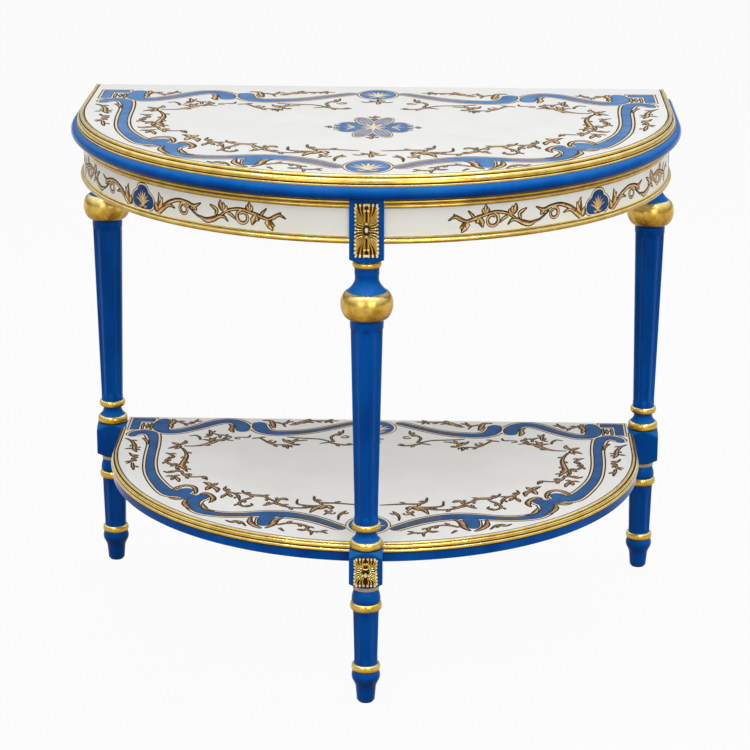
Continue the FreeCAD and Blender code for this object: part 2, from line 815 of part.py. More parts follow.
def make_shelf_panel():
    body = new_body("shelf_panel")
    outline = d_outline(shelf_panel_radius, shelf_arc_y, shelf_back_y)
    add_pad(body, add_outline(new_sketch(body, "XY_Plane", z=shelf_base), outline), "shelf_thickness")
    notch = new_sketch(body, "XY_Plane")
    low = f"({front_leg_y} - {half_block})"
    add_outline(notch, rectangle(f"-{half_block}", half_block, low, f"{front_leg_y} + {half_block}"))
    add_cut_through(body, notch)
    whole = "(dowel_in_block + dowel_in_panel)"
    for x, y, direction in dowel_places():
        add_bore(body, x, y, dowel_level, "dowel_radius", whole, direction)
    return body


def make_shelf_edges(side):
    gilt = moulding_corners(
        shelf_gilt_shares, shelf_panel_radius, shelf_gilt_base, "shelf_gilt_width", "shelf_gilt_height"
    )
    band = rectangle(
        shelf_panel_radius, f"{shelf_radius} - band_recess", shelf_base, shelf_gilt_base
    )
    name = side_name(side)
    return [
        swept_along_the_rail(f"shelf_gilt_moulding_{name}", side, gilt, shelf_arc_y),
        swept_along_the_rail(f"shelf_edge_band_{name}", side, band, shelf_arc_y),
    ]


def make_shelf_dowels():
    solids = []
    for number, (x, y, direction) in enumerate(dowel_places()):
        dowel = doc.addObject("Part::Cylinder", f"shelf_dowel_{number}")
        bind(dowel, Radius="dowel_radius", Height="dowel_in_block + dowel_in_panel")
        dowel.Placement = FreeCAD.Placement(
            FreeCAD.Vector(), FreeCAD.Rotation(FreeCAD.Vector(0, 0, 1), FreeCAD.Vector(*direction))
        )
        bind(dowel, Placement__Base__x=x, Placement__Base__y=y, Placement__Base__z=dowel_level)
        solids.append(dowel)
    return group_of("shelf_dowels", solids)


hand_over(make_top_panel())
hand_over(make_top_gilt_moulding())
hand_over(make_top_nosing())
for side in (-1, 1):
    hand_over(make_side_rail(side))
    for bead in make_rail_beads(side):
        hand_over(bead)
hand_over(make_back_rail())
hand_over(make_fixing_blocks())
hand_over(make_top_screws())
for leg in make_legs():
    hand_over(leg)
for plaque in make_plaques():
    hand_over(plaque)
hand_over(make_shelf_panel())
for side in (-1, 1):
    for edge in make_shelf_edges(side):
        hand_over(edge)
hand_over(make_shelf_dowels())
doc.recompute()

for item in doc.Objects:
    if "Invalid" in item.State or "Error" in item.State:
        raise RuntimeError(f"{item.Label} failed: {item.getStatusString()}")
for item in parts:
    shape = item.Shape
    if shape.isNull() or not shape.isValid():
        raise RuntimeError(f"{item.Label} has no valid shape")

os.makedirs("parts", exist_ok=True)
for item in parts:
    item.Shape.exportStep(os.path.join("parts", f"{item.Label}.step"))
    box = item.Shape.optimalBoundingBox(False, False)
    print(
        f"{item.Label}: {len(item.Shape.Solids)} solid(s), {item.Shape.Volume / 1000:.1f} cm3,"
        f" x {box.XMin:.1f} to {box.XMax:.1f}, y {box.YMin:.1f} to {box.YMax:.1f},"
        f" z {box.ZMin:.1f} to {box.ZMax:.1f}"
    )
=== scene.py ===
import math

import bpy
from mathutils import Matrix, Vector


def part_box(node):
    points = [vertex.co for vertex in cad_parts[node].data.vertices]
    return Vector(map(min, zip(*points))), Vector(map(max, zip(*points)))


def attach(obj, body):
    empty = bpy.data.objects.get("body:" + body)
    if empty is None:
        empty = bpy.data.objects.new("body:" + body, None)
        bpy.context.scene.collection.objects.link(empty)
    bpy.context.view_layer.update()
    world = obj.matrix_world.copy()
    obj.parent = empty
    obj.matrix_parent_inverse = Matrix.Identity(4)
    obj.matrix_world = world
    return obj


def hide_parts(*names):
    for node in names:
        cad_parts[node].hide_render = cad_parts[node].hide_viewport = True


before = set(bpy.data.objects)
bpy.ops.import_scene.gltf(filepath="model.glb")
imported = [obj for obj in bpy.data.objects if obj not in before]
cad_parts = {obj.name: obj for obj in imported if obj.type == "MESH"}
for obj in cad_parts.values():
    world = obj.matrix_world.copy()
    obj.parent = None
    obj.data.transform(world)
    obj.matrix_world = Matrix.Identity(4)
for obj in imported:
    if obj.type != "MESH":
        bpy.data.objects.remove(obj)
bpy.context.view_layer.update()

# Half-round side table in blue, white and gold. Every length below is in millimetres in the
# shared frame and is turned into metres when a piece is made.
MM = 0.001
BODY = "root"


def levels(node):
    """Lowest and highest corner of a CAD node, in millimetres."""
    low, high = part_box(node)
    return low / MM, high / MM


panel_low, panel_high = levels("top_panel")
nose_low, nose_high = levels("top_nosing")
gilt_low, gilt_high = levels("top_gilt_moulding")
rail_low, rail_high = levels("side_rail_left")
upper_bead_low, upper_bead_high = levels("rail_upper_bead_left")
lower_bead_low, lower_bead_high = levels("rail_lower_bead_left")
shelf_high = levels("shelf_panel")[1]
shelf_gilt_low, shelf_gilt_high = levels("shelf_gilt_moulding_left")
shelf_band_low, shelf_band_high = levels("shelf_edge_band_left")
lower_leg_low, lower_leg_high = levels("lower_leg_front")
upper_leg_high = levels("upper_leg_front")[1]

BACK_Y = panel_high.y
ARC_Y = panel_low.y + panel_high.x
RAIL_RADIUS = -rail_low.x
SHELF_RADIUS = -shelf_gilt_low.x
HALF_BLOCK = (lower_leg_high.x - lower_leg_low.x) / 2
SHELF_ARC_Y = shelf_gilt_low.y + math.sqrt(SHELF_RADIUS ** 2 - HALF_BLOCK ** 2)


# Materials

def screen(red, green, blue):
    """Linear colour of a paint from its screen values."""
    shares = [channel / 255 for channel in (red, green, blue)]
    return [s / 12.92 if s < 0.04 else ((s + 0.055) / 1.055) ** 2.4 for s in shares] + [1]


def set_inputs(node, settings):
    """Set inputs by name, where an underscore stands for a space."""
    for name, setting in settings.items():
        node.inputs[name.replace("_", " ")].default_value = setting


def add_node(tree, kind, operation=None, **settings):
    node = tree.nodes.new("ShaderNode" + kind)
    if operation:
        node.operation = operation
    set_inputs(node, settings)
    return node


def join(tree, *pairs):
    """Link each pair of sockets, an output to an input."""
    for start, end in pairs:
        tree.links.new(start, end)


def mapped_noise(tree, source, stretch, scale, detail):
    """Noise in the object's own coordinates, stretched where the surface has a direction."""
    mapping = add_node(tree, "Mapping", Scale=stretch)
    noise = add_node(tree, "TexNoise", Scale=scale, Detail=detail, Roughness=0.6)
    join(
        tree, (source.outputs["Object"], mapping.inputs["Vector"]),
        (mapping.outputs["Vector"], noise.inputs["Vector"]),
    )
    return noise


def painted_light_shares(tree, clouds, facing_light):
    """Shares of the tint ramp with painted light and shade: paler where a surface faces up, darker where it
    faces down, a little by the clouds.
    """
    surface = add_node(tree, "NewGeometry")
    split = add_node(tree, "SeparateXYZ")
    facing = add_node(tree, "MapRange", From_Min=-0.9, From_Max=0.85, To_Max=facing_light)
    blend = add_node(tree, "Math", "MULTIPLY_ADD")
    blend.inputs[1].default_value = 1 - facing_light
    join(
        tree, (surface.outputs["Normal"], split.inputs["Vector"]),
        (split.outputs["Z"], facing.inputs["Value"]),
        (clouds.outputs["Fac"], blend.inputs[0]), (facing.outputs["Result"], blend.inputs[2]),
    )
    return blend.outputs[0]


def new_material(name):
    """A node material with its tree and its shader."""
    material = bpy.data.materials.new(name)
    material.use_nodes = True
    return material, material.node_tree, material.node_tree.nodes["Principled BSDF"]


BUMP_DEPTH = 0.0006


def make_finish(
    name, places, tints, cloud, grain, rough, relief, stretch=(1, 1, 1), facing_light=0, **settings
):
    """Painted, gilded or bare surface: clouded colour, uneven gloss, a fine relief and, where set, painted
    light and shade by facing.
    """
    material, tree, shader = new_material(name)
    set_inputs(shader, settings)
    source = add_node(tree, "TexCoord")
    clouds = mapped_noise(tree, source, stretch, cloud, 5)
    ramp = add_node(tree, "ValToRGB")
    stops = ramp.color_ramp.elements
    while len(stops) < len(tints):
        stops.new(0.5)
    for index, (place, tint) in enumerate(zip(places, tints)):
        stops[index].position = place
        stops[index].color = screen(*tint)
    # Where set, the tints follow the facing as well: painted light and shade, paler up and darker down.
    shares = painted_light_shares(tree, clouds, facing_light) if facing_light else clouds.outputs["Fac"]
    grains = mapped_noise(tree, source, stretch, grain, 4)
    gloss = add_node(tree, "MapRange", From_Min=0.3, From_Max=0.7, To_Min=rough[0], To_Max=rough[1])
    bump = add_node(tree, "Bump", Strength=relief, Distance=BUMP_DEPTH)
    join(
        tree, (shares, ramp.inputs["Fac"]), (ramp.outputs["Color"], shader.inputs["Base Color"]),
        (grains.outputs["Fac"], gloss.inputs["Value"]),
        (gloss.outputs["Result"], shader.inputs["Roughness"]),
        (grains.outputs["Fac"], bump.inputs["Height"]),
        (bump.outputs["Normal"], shader.inputs["Normal"]),
    )
    return material


LACQUER = {"Specular_IOR_Level": 0.02, "Coat_Weight": 0.18, "Coat_Roughness": 0.03}
BLUE_GLOSS = {
    "Specular_IOR_Level": 0.05, "Specular_Tint": (0.3, 0.6, 1, 1),
    "Coat_Weight": 0.03, "Coat_Roughness": 0.02,
}
GILT = {"Metallic": 0.9, "Specular_IOR_Level": 0.4}
PAINT = {"Specular_IOR_Level": 0.04, "Coat_Weight": 0.06, "Coat_Roughness": 0.05}

# Where the tints of a finish stand in its clouds
TWO_STOPS = (0.3, 0.7)
THREE_STOPS = (0.3, 0.55, 0.8)
LEAF_STOPS = (0.3, 0.52, 0.75)

# Blue lacquer with painted light and shade: its darkest tint falls on faces that look down, its palest on
# faces that look up.
blue_lacquer = make_finish(
    "blue_lacquer", (0.2, 0.44, 0.56, 0.84),
    [(0, 22, 64), (0, 64, 140), (2, 80, 163), (30, 110, 190)],
    22, 130, (0.08, 0.15), 0.02, stretch=(1, 1, 0.35), facing_light=0.6, **BLUE_GLOSS,
)
white_lacquer = make_finish(
    "white_lacquer", TWO_STOPS, [(238, 237, 233), (244, 244, 241)],
    9, 60, (0.3, 0.4), 0.0015, **LACQUER,
)
cream_lacquer = make_finish(
    "cream_lacquer", TWO_STOPS, [(235, 232, 221), (241, 239, 230)],
    9, 60, (0.3, 0.4), 0.0015, **LACQUER,
)
# Gilding of the balls with painted light and shade: dark brown on faces that look down, palest on faces that
# look up.
gold_leaf = make_finish(
    "gold_leaf", (0.22, 0.4, 0.57, 0.78),
    [(80, 48, 8), (170, 126, 40), (226, 188, 90), (252, 234, 168)],
    48, 170, (0.2, 0.34), 0.07, facing_light=0.5, **GILT,
)
# Gilt of the mouldings, leg rings and carving with painted light and shade: dark on faces that look down,
# pale on faces that look up.
rim_gold = make_finish(
    "rim_gold", (0.2, 0.42, 0.6, 0.82),
    [(76, 44, 6), (184, 136, 38), (228, 189, 80), (255, 240, 170)],
    48, 170, (0.14, 0.26), 0.07, facing_light=0.6, Metallic=0.75, Specular_IOR_Level=0.2,
)
# Cream of the carving's rib tips and knobs: painted highlight.
painted_highlight_gold = make_finish(
    "painted_highlight_gold", THREE_STOPS, [(246, 218, 136), (255, 242, 196), (255, 250, 224)],
    90, 260, (0.25, 0.4), 0.05, Metallic=0.2, Specular_IOR_Level=0.5,
)
# Dark brown of the grooves, of faces under and behind beads and of the carving's ground: painted shade.
painted_shade_gold = make_finish(
    "painted_shade_gold", TWO_STOPS, [(34, 18, 2), (70, 44, 12)],
    70, 260, (0.5, 0.7), 0.2, Metallic=0.1, Specular_IOR_Level=0.1,
)
dull_gold = make_finish(
    "dull_gold", TWO_STOPS, [(150, 130, 104), (196, 178, 148)],
    60, 240, (0.4, 0.6), 0.2, Metallic=0.3,
)
bare_wood = make_finish(
    "bare_wood", (0.25, 0.5, 0.8), [(168, 122, 78), (196, 152, 104), (216, 178, 130)],
    40, 120, (0.5, 0.7), 0.25, stretch=(0.12, 1, 1.6),
)
zinc_steel = make_finish(
    "zinc_steel", TWO_STOPS, [(150, 152, 156), (196, 198, 202)],
    400, 900, (0.25, 0.4), 0.1, Metallic=1,
)

# Paints of the ornament: stops, tints, cloud and grain scale, roughness, relief and metal
SMOOTH = ((0.3, 0.4), 0.02, 0)
BRUSHED = ((0.32, 0.5), 0.1)
paint_finishes = {}
for name, places, tints, cloud, grain, rough, relief, metal in (
    ("blue", THREE_STOPS, [(16, 76, 136), (30, 92, 154), (52, 112, 174)], 30, 300, *SMOOTH),
    # sky and mist, lighter copies of blue and grey for the top, are painted sheen standing for its glare
    ("sky", THREE_STOPS, [(58, 112, 172), (80, 134, 192), (108, 156, 208)], 30, 300, *SMOOTH),
    ("navy", TWO_STOPS, [(16, 62, 114), (30, 82, 138)], 60, 300, *SMOOTH),
    ("grey", TWO_STOPS, [(58, 78, 104), (80, 98, 126)], 60, 300, *SMOOTH),
    ("mist", TWO_STOPS, [(118, 124, 154), (142, 146, 172)], 60, 300, *SMOOTH),
    ("bronze", LEAF_STOPS, [(156, 114, 60), (202, 160, 102), (238, 206, 156)], 120, 420, *BRUSHED, 0.1),
    ("umber", TWO_STOPS, [(98, 62, 24), (150, 104, 50)], 120, 420, *BRUSHED, 0),
    ("gold", LEAF_STOPS, [(196, 150, 82), (234, 196, 132), (254, 234, 192)], 120, 420, *BRUSHED, 0.1),
    ("beige", TWO_STOPS, [(236, 212, 174), (251, 236, 208)], 110, 400, (0.3, 0.45), 0.06, 0),
    ("line", TWO_STOPS, [(30, 20, 10), (58, 40, 20)], 140, 400, (0.35, 0.5), 0.05, 0),
    ("lilac", TWO_STOPS, [(112, 126, 154), (144, 156, 180)], 120, 400, (0.3, 0.45), 0.05, 0),
):
    paint_finishes[name] = make_finish(
        f"{name}_paint", places, tints, cloud, grain, rough, relief, Metallic=metal, **PAINT
    )


# Mesh building

class Sheet:
    """Vertices, faces and the finish number of each face of one piece."""

    def __init__(self):
        self.points = []
        self.faces = []
        self.tints = []

    def add_points(self, points):
        start = len(self.points)
        self.points.extend(points)
        return range(start, len(self.points))

    def add_face(self, corners, tint, flip):
        self.faces.append(tuple(reversed(corners)) if flip else tuple(corners))
        self.tints.append(tint)

    def add_rows(self, rows, tints=None, flip=False):
        """A closed skin over rings of points of equal length, capped at both ends."""
        indices = [list(self.add_points(row)) for row in rows]
        count = len(indices[0])
        for number, (here, there) in enumerate(zip(indices, indices[1:])):
            for k in range(count):
                following = (k + 1) % count
                tint = tints(number, k) if tints else 0
                self.add_face((here[k], here[following], there[following], there[k]), tint, flip)
        self.add_face(indices[0][::-1], tints(0, 0) if tints else 0, flip)
        self.add_face(indices[-1], tints(len(rows) - 2, 0) if tints else 0, flip)


def make_piece(name, sheet, materials, replaced=(), sharp=35):
    """A finished object from a sheet: in place, riding on the table's only body."""
    mesh = bpy.data.meshes.new(name)
    mesh.from_pydata([Vector(point) * MM for point in sheet.points], [], sheet.faces)
    for material in materials:
        mesh.materials.append(material)
    mesh.polygons.foreach_set("material_index", sheet.tints)
    mesh.polygons.foreach_set("use_smooth", [True] * len(sheet.faces))
    mesh.update()
    mesh.set_sharp_from_angle(angle=math.radians(sharp))
    piece = bpy.data.objects.new(name, mesh)
    bpy.context.scene.collection.objects.link(piece)
    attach(piece, BODY)
    if replaced:
        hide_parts(*replaced)


def curve_through(points, steps=7):
    """Smooth run through control points of any number of coordinates."""
    count = len(points)
    run = []
    for k in range(count - 1):
        before, here = points[max(k - 1, 0)], points[k]
        there, after = points[k + 1], points[min(k + 2, count - 1)]
        for step in range(steps):
            t = step / steps
            run.append([
                0.5 * (2 * b + (c - a) * t + (2 * a - 5 * b + 4 * c - d) * t * t
                       + (3 * b - a - 3 * c + d) * t ** 3)
                for a, b, c, d in zip(before, here, there, after)
            ])
    run.append(list(points[-1]))
    return run


def across_run(run, k):
    """Direction across a run at one of its points."""
    a, b = run[max(k - 1, 0)], run[min(k + 1, len(run) - 1)]
    along = math.hypot(b[0] - a[0], b[1] - a[1]) or 1
    return -(b[1] - a[1]) / along, (b[0] - a[0]) / along


def leaned(x, y, along, aside, lean):
    """A point from its distances along and aside of an axis that leans from the x axis."""
    return (
        x + along * math.cos(lean) - aside * math.sin(lean),
        y + along * math.sin(lean) + aside * math.cos(lean),
    )


def oval(x, y, half_length, half_width, lean=0, steps=40):
    """An oval whose long axis leans by an angle from the x axis."""
    turns = [2 * math.pi * step / steps for step in range(steps)]
    return [
        leaned(x, y, half_length * math.cos(turn), half_width * math.sin(turn), lean) for turn in turns
    ]


# Mouldings that run round the half-round outline

ARC_STEPS = 120


def d_stations(arc_y, start_y, end_y, first, last):
    """Places along the outline from the left end to the right: middle line y and outward direction.

    The angles first and last are measured from the front, positive to the right."""
    stations = []
    if start_y is not None:
        stations.append((start_y, -1.0, 0.0))
    for step in range(ARC_STEPS + 1):
        angle = first + (last - first) * step / ARC_STEPS
        stations.append((arc_y, math.sin(angle), -math.cos(angle)))
    if end_y is not None:
        stations.append((end_y, 1.0, 0.0))
    return stations


def swept_piece(name, profile, stations, materials, replaced=(), tint_of=None):
    """A piece made by carrying a closed profile of (radius, level) points along the stations."""
    rows = []
    for base_y, out_x, out_y in stations:
        rows.append([(out_x * r, base_y + out_y * r, z) for r, z in profile])
    sheet = Sheet()
    sheet.add_rows(rows, tints=(lambda row, k: tint_of[k]) if tint_of else None)
    make_piece(name, sheet, materials, replaced)


def bulge(r, z, half_width, half_height, first, last, steps):
    """Points of an elliptical bead round a centre, angles in degrees from outward, upward positive."""
    points = []
    for step in range(steps + 1):
        angle = math.radians(first + (last - first) * step / steps)
        points.append((r + half_width * math.cos(angle), z + half_height * math.sin(angle)))
    return points


def marked(stretches):
    """Join stretches of points and give every side of the outline its finish number."""
    points, tints = [], []
    for tint, stretch in stretches:
        points.extend(stretch)
        tints.extend([tint] * len(stretch))
    return points, tints


QUARTER = math.pi / 2
FRONT_OVERLAP = 0.3


def front_cut(radius):
    """Angle at which a run disappears into the side of the front block."""
    return math.asin((HALF_BLOCK - FRONT_OVERLAP) / radius)


def side_runs(arc_y, radius, end_y):
    """Runs of the left and the right half, from the rear block to the front block."""
    cut = front_cut(radius)
    return {
        "left": d_stations(arc_y, end_y, None, -QUARTER, -cut),
        "right": d_stations(arc_y, None, end_y, cut, QUARTER),
    }


whole_run = d_stations(ARC_Y, BACK_Y, BACK_Y, -QUARTER, QUARTER)
NOSE_SLACK = 0.12
nose_radius = (nose_high.z - nose_low.z) / 2
nose_middle = nose_low.z + nose_radius
nose_reach = nose_radius - NOSE_SLACK
nose_round = bulge(nose_high.x - nose_radius, nose_middle, nose_reach, nose_radius, -90, 90, 14)
nose_profile = [(panel_high.x, nose_low.z)] + nose_round + [(panel_high.x, nose_high.z)]
swept_piece("top_nosing_run", nose_profile, whole_run, [blue_lacquer], ["top_nosing"])

# Finish 1 of each gilt profile is painted shade: grooves and faces under or behind the beads.
GILDED = [rim_gold, painted_shade_gold]

# The gilt moulding: a low outer fillet, a broad swelling, a groove and an inner bead, with its grooves in
# painted shade
gilt_r, gilt_z = gilt_high.x, gilt_low.z
gilt_profile, gilt_tints = marked([
    (0, [(panel_high.x, gilt_z), (gilt_r, gilt_z), (gilt_r, gilt_z + 1.8)]),
    (1, [(gilt_r - 0.9, gilt_z + 2.4), (gilt_r - 1.3, gilt_z + 3.6)]),
    (0, bulge(gilt_r - 5.2, gilt_z + 4.2, 4.2, 6.4, 0, 78, 8)),
    (1, [(gilt_r - 4.8, gilt_z + 9.2), (gilt_r - 5.5, gilt_z + 10.4)]),
    (0, bulge(panel_high.x + 3.1, gilt_z + 12.5, 2.5, gilt_high.z - gilt_z - 12.5, -20, 175, 9)),
    (1, [(panel_high.x + 0.2, gilt_z + 11.6)]),
])
swept_piece(
    "top_gilt_run", gilt_profile, whole_run, GILDED, ["top_gilt_moulding"], gilt_tints
)

LINE_LIFT = 0.08


def painted_shade_line(name, radius, level, stations):
    """A thin dark line along the rim of a white panel: painted shade beside the gilt."""
    outer, top = radius - 0.05, level + LINE_LIFT
    profile = [(radius - 1.7, level), (outer, level), (outer, top), (radius - 1.6, top)]
    swept_piece(name, profile, stations, [paint_finishes["line"]])


# Painted shade along the inner edge of the top's gilt moulding.
painted_shade_line("top_edge_line", panel_high.x, panel_high.z, whole_run)

# Apron rails and the gilt beads above and below their white faces
RAIL_THICKNESS = 20
rail_inner = RAIL_RADIUS - RAIL_THICKNESS
rail_end = upper_bead_high.y
rail_profile = [
    (rail_inner, rail_low.z), (RAIL_RADIUS, rail_low.z),
    (RAIL_RADIUS, rail_high.z), (rail_inner, rail_high.z),
]
for side, stations in side_runs(ARC_Y, RAIL_RADIUS, rail_end).items():
    swept_piece(
        f"apron_{side}", rail_profile, stations, [cream_lacquer, bare_wood],
        [f"side_rail_{side}"], [1, 0, 1, 1],
    )

bead_r = -upper_bead_low.x
bead_z0, bead_z1 = upper_bead_low.z, upper_bead_high.z
upper_profile, upper_tints = marked([
    (0, [(RAIL_RADIUS, bead_z0), (RAIL_RADIUS + 1.2, bead_z0)]),
    (0, bulge(RAIL_RADIUS + 1.0, bead_z0 + 2.8, 1.8, 2.4, -70, 80, 6)),
    (1, [(RAIL_RADIUS + 1.2, bead_z0 + 5.4), (RAIL_RADIUS + 1.4, bead_z0 + 6.6)]),
    (0, bulge(RAIL_RADIUS + 1.9, bead_z0 + 9.6, bead_r - RAIL_RADIUS - 2.1, 2.9, -80, 80, 8)),
    (1, [(RAIL_RADIUS + 2.2, bead_z1 - 0.9), (RAIL_RADIUS + 2.2, bead_z1), (RAIL_RADIUS, bead_z1)]),
])
low_r = -lower_bead_low.x
low_z0, low_z1 = lower_bead_low.z, lower_bead_high.z
lower_profile, lower_tints = marked([
    (0, [(RAIL_RADIUS, low_z0), (RAIL_RADIUS + 2.4, low_z0)]),
    (0, bulge(RAIL_RADIUS + 1.4, low_z0 + 3.7, low_r - RAIL_RADIUS - 1.5, 3.5, -75, 75, 8)),
    (1, [(RAIL_RADIUS + 1.6, low_z0 + 7.3), (RAIL_RADIUS + 1.4, low_z0 + 7.8)]),
    (0, [(RAIL_RADIUS + 2.0, low_z0 + 8.2), (RAIL_RADIUS + 1.9, low_z0 + 9.2)]),
    (0, [(RAIL_RADIUS + 1.0, low_z1), (RAIL_RADIUS, low_z1)]),
])
for word, radius, profile, tints in (
    ("upper", bead_r, upper_profile, upper_tints), ("lower", low_r, lower_profile, lower_tints),
):
    for side, stations in side_runs(ARC_Y, radius, rail_end).items():
        swept_piece(
            f"apron_{word}_bead_{side}", profile, stations, GILDED,
            [f"rail_{word}_bead_{side}"], tints,
        )

# Shelf edge: three gilt beads over a plain blue band
shelf_r = SHELF_RADIUS
shelf_z0, shelf_z1 = shelf_gilt_low.z, shelf_gilt_high.z
shelf_end = shelf_gilt_high.y
shelf_inner = shelf_high.x
shelf_profile, shelf_tints = marked([
    # The bottom face and the lower part of the first bead are painted shade.
    (1, [(shelf_inner, shelf_z0), (shelf_r - 1.5, shelf_z0)]),
    (1, bulge(shelf_r - 2.2, shelf_z0 + 2.9, 2.1, 2.7, -75, -30, 2)),
    (0, bulge(shelf_r - 2.2, shelf_z0 + 2.9, 2.1, 2.7, -15, 80, 6)),
    (1, [(shelf_r - 2.5, shelf_z0 + 5.6), (shelf_r - 2.9, shelf_z0 + 7.0)]),
    (0, bulge(shelf_r - 4.1, shelf_z0 + 7.4, 2.1, 4.2, 0, 78, 7)),
    (1, [(shelf_r - 4.3, shelf_z0 + 10.2), (shelf_r - 6.0, shelf_z0 + 10.6)]),
    (0, bulge(shelf_r - 7.4, shelf_z0 + 11.6, 1.5, shelf_z1 - shelf_z0 - 11.6, -20, 165, 8)),
    (1, [(shelf_inner + 0.1, shelf_z1 - 1.8)]),
])
band_r = -shelf_band_low.x
band_profile = [(shelf_inner, shelf_band_low.z), (band_r - 0.8, shelf_band_low.z)]
band_profile += [(band_r, shelf_band_low.z + 0.8), (band_r, shelf_band_high.z)]
band_profile += [(shelf_inner, shelf_band_high.z)]
for side, stations in side_runs(SHELF_ARC_Y, shelf_inner, shelf_end).items():
    swept_piece(
        f"shelf_gilt_run_{side}", shelf_profile, stations, GILDED,
        [f"shelf_gilt_moulding_{side}"], shelf_tints,
    )
    # Painted shade along the inner edge of the shelf's gilt.
    painted_shade_line(f"shelf_edge_line_{side}", shelf_inner, shelf_high.z, stations)
    swept_piece(
        f"shelf_band_run_{side}", band_profile, stations, [blue_lacquer],
        [f"shelf_edge_band_{side}"],
    )


# Turned legs

BLUE, GOLD, DULL, RING = 0, 1, 2, 3
CORNER = HALF_BLOCK * math.sqrt(2)
# Levels of the leg, from the floor up
FOOT_TOP, ANKLET_TOP, ANKLE_TOP, GARTER_TOP, CUSHION_TOP = 49, 60, 143, 155, 175
LOWER_BLOCK_BASE, LOWER_BLOCK_TOP = 180, 236
COLLAR_TOP, COVE_TOP, RING_TOP, SHAFT_TOP, SEAT_TOP = 249, 264, 274, 569, 574
BALL_TOP, FLARE_TOP, NECK_TOP, UPPER_BLOCK_BASE = 613, 638, 647, 656
LOWER_CHAMFER, UPPER_CHAMFER = 9, 7
FLUTES = 8
FLUTE_HALF_ANGLE = math.radians(17.5)
FLUTE_RUN_OUT = 9
FLUTE_RINGS = (8, 10, 12, 14.5, 18, 22)
EDGE_SOFTNESS = 46


def ring_angles():
    """Even steps round the leg with closer ones at the four block corners."""
    angles = {round(math.radians(3.75 * step), 6) for step in range(96)}
    for corner in (45, 135, 225, 315):
        for offset in (-1.9, -0.95, 0.95, 1.9):
            angles.add(round(math.radians(corner + offset), 6))
    return sorted(angles)


ANGLES = ring_angles()


def line(z0, r0, z1, r1, tint, steps=2):
    """A straight stretch of a turned profile."""
    return [(z0 + (z1 - z0) * k / steps, r0 + (r1 - r0) * k / steps, tint) for k in range(steps + 1)]


def bead(z0, z1, base, rise, tint, steps=10, top=None):
    """A turned swelling between two levels; top is the radius at its upper end where it differs."""
    top = base if top is None else top
    points = []
    for k in range(steps + 1):
        angle = -QUARTER + math.pi * k / steps
        share = (math.sin(angle) + 1) / 2
        points.append((z0 + (z1 - z0) * share, base + (top - base) * share + rise * math.cos(angle), tint))
    return points


def ball(z0, z1, base, rise, tint, steps, top):
    """A squat ball: full below, with a shoulder that slopes in above."""
    half = (z1 - z0) / 2
    radius = (half ** 2 + rise ** 2) / (2 * rise)
    rows = []
    for step in range(steps + 1):
        height = math.sin(math.pi * (step / steps - 0.5))
        full = math.sqrt(max(1 - height ** 2, 0))
        lean = (math.sqrt(radius ** 2 - (half * height) ** 2) - radius + rise) / rise
        swell = full if height < 0 else (full + lean) / 2
        reach = base + (top - base) * (height + 1) / 2
        rows.append((z0 + half * (1 + height), reach + rise * swell, tint))
    return rows


def hollow(z0, r0, z1, r1, depth, tint, steps=10):
    """A concave stretch of a turned profile."""
    points = []
    for k in range(steps + 1):
        share = k / steps
        sag = depth * math.sin(math.pi * share)
        points.append((z0 + (z1 - z0) * share, r0 + (r1 - r0) * share - sag, tint))
    return points


def flute_depth(z, start, stop, depth):
    """Depth of a stopped flute at a level, with rounded ends."""
    near = min(z - start, stop - z)
    if near <= 0:
        return 0
    if near >= FLUTE_RUN_OUT:
        return depth
    return depth * math.sqrt(1 - (1 - near / FLUTE_RUN_OUT) ** 2)


def in_block(z):
    """True where the leg is left square."""
    return z >= UPPER_BLOCK_BASE or LOWER_BLOCK_BASE <= z <= LOWER_BLOCK_TOP


def turned_rows(profile, centre, fluted):
    """Rings of a turned leg; the square blocks cut the turning back to four flats."""
    rows = []
    for z, radius, tint in profile:
        depth = flute_depth(z, *fluted)
        row = []
        for angle in ANGLES:
            spread = abs(math.cos(angle)) ** EDGE_SOFTNESS + abs(math.sin(angle)) ** EDGE_SOFTNESS
            flat = HALF_BLOCK / spread ** (1 / EDGE_SOFTNESS)
            step = 2 * math.pi / FLUTES
            aside = abs((angle + step / 2) % step - step / 2) / FLUTE_HALF_ANGLE
            scoop = depth * (1 - aside ** 2) if aside < 1 else 0
            r = min(radius, flat) if in_block(z) else radius - scoop
            row.append((centre[0] + r * math.cos(angle), centre[1] + r * math.sin(angle), z))
        rows.append(row)
    return rows


def fluted_run(z0, r0, z1, r1, tint):
    """A shaft with closer rings near the ends of its flutes."""
    reach = FLUTE_RINGS[-1]
    inner = [z0 + inset for inset in FLUTE_RINGS]
    outer = [z1 - inset for inset in reversed(FLUTE_RINGS)]
    middle = [z0 + reach + (z1 - z0 - 2 * reach) * share for share in (0.25, 0.5, 0.75)]
    stops = [z0] + inner + middle + outer + [z1]
    return [(z, r0 + (r1 - r0) * (z - z0) / (z1 - z0), tint) for z in stops]


FOOT = [(3.4, 13.0), (14, 13.9), (24, 14.9), (30, 17.0), (36, 19.8), (42, 20.6), (FOOT_TOP, 19)]

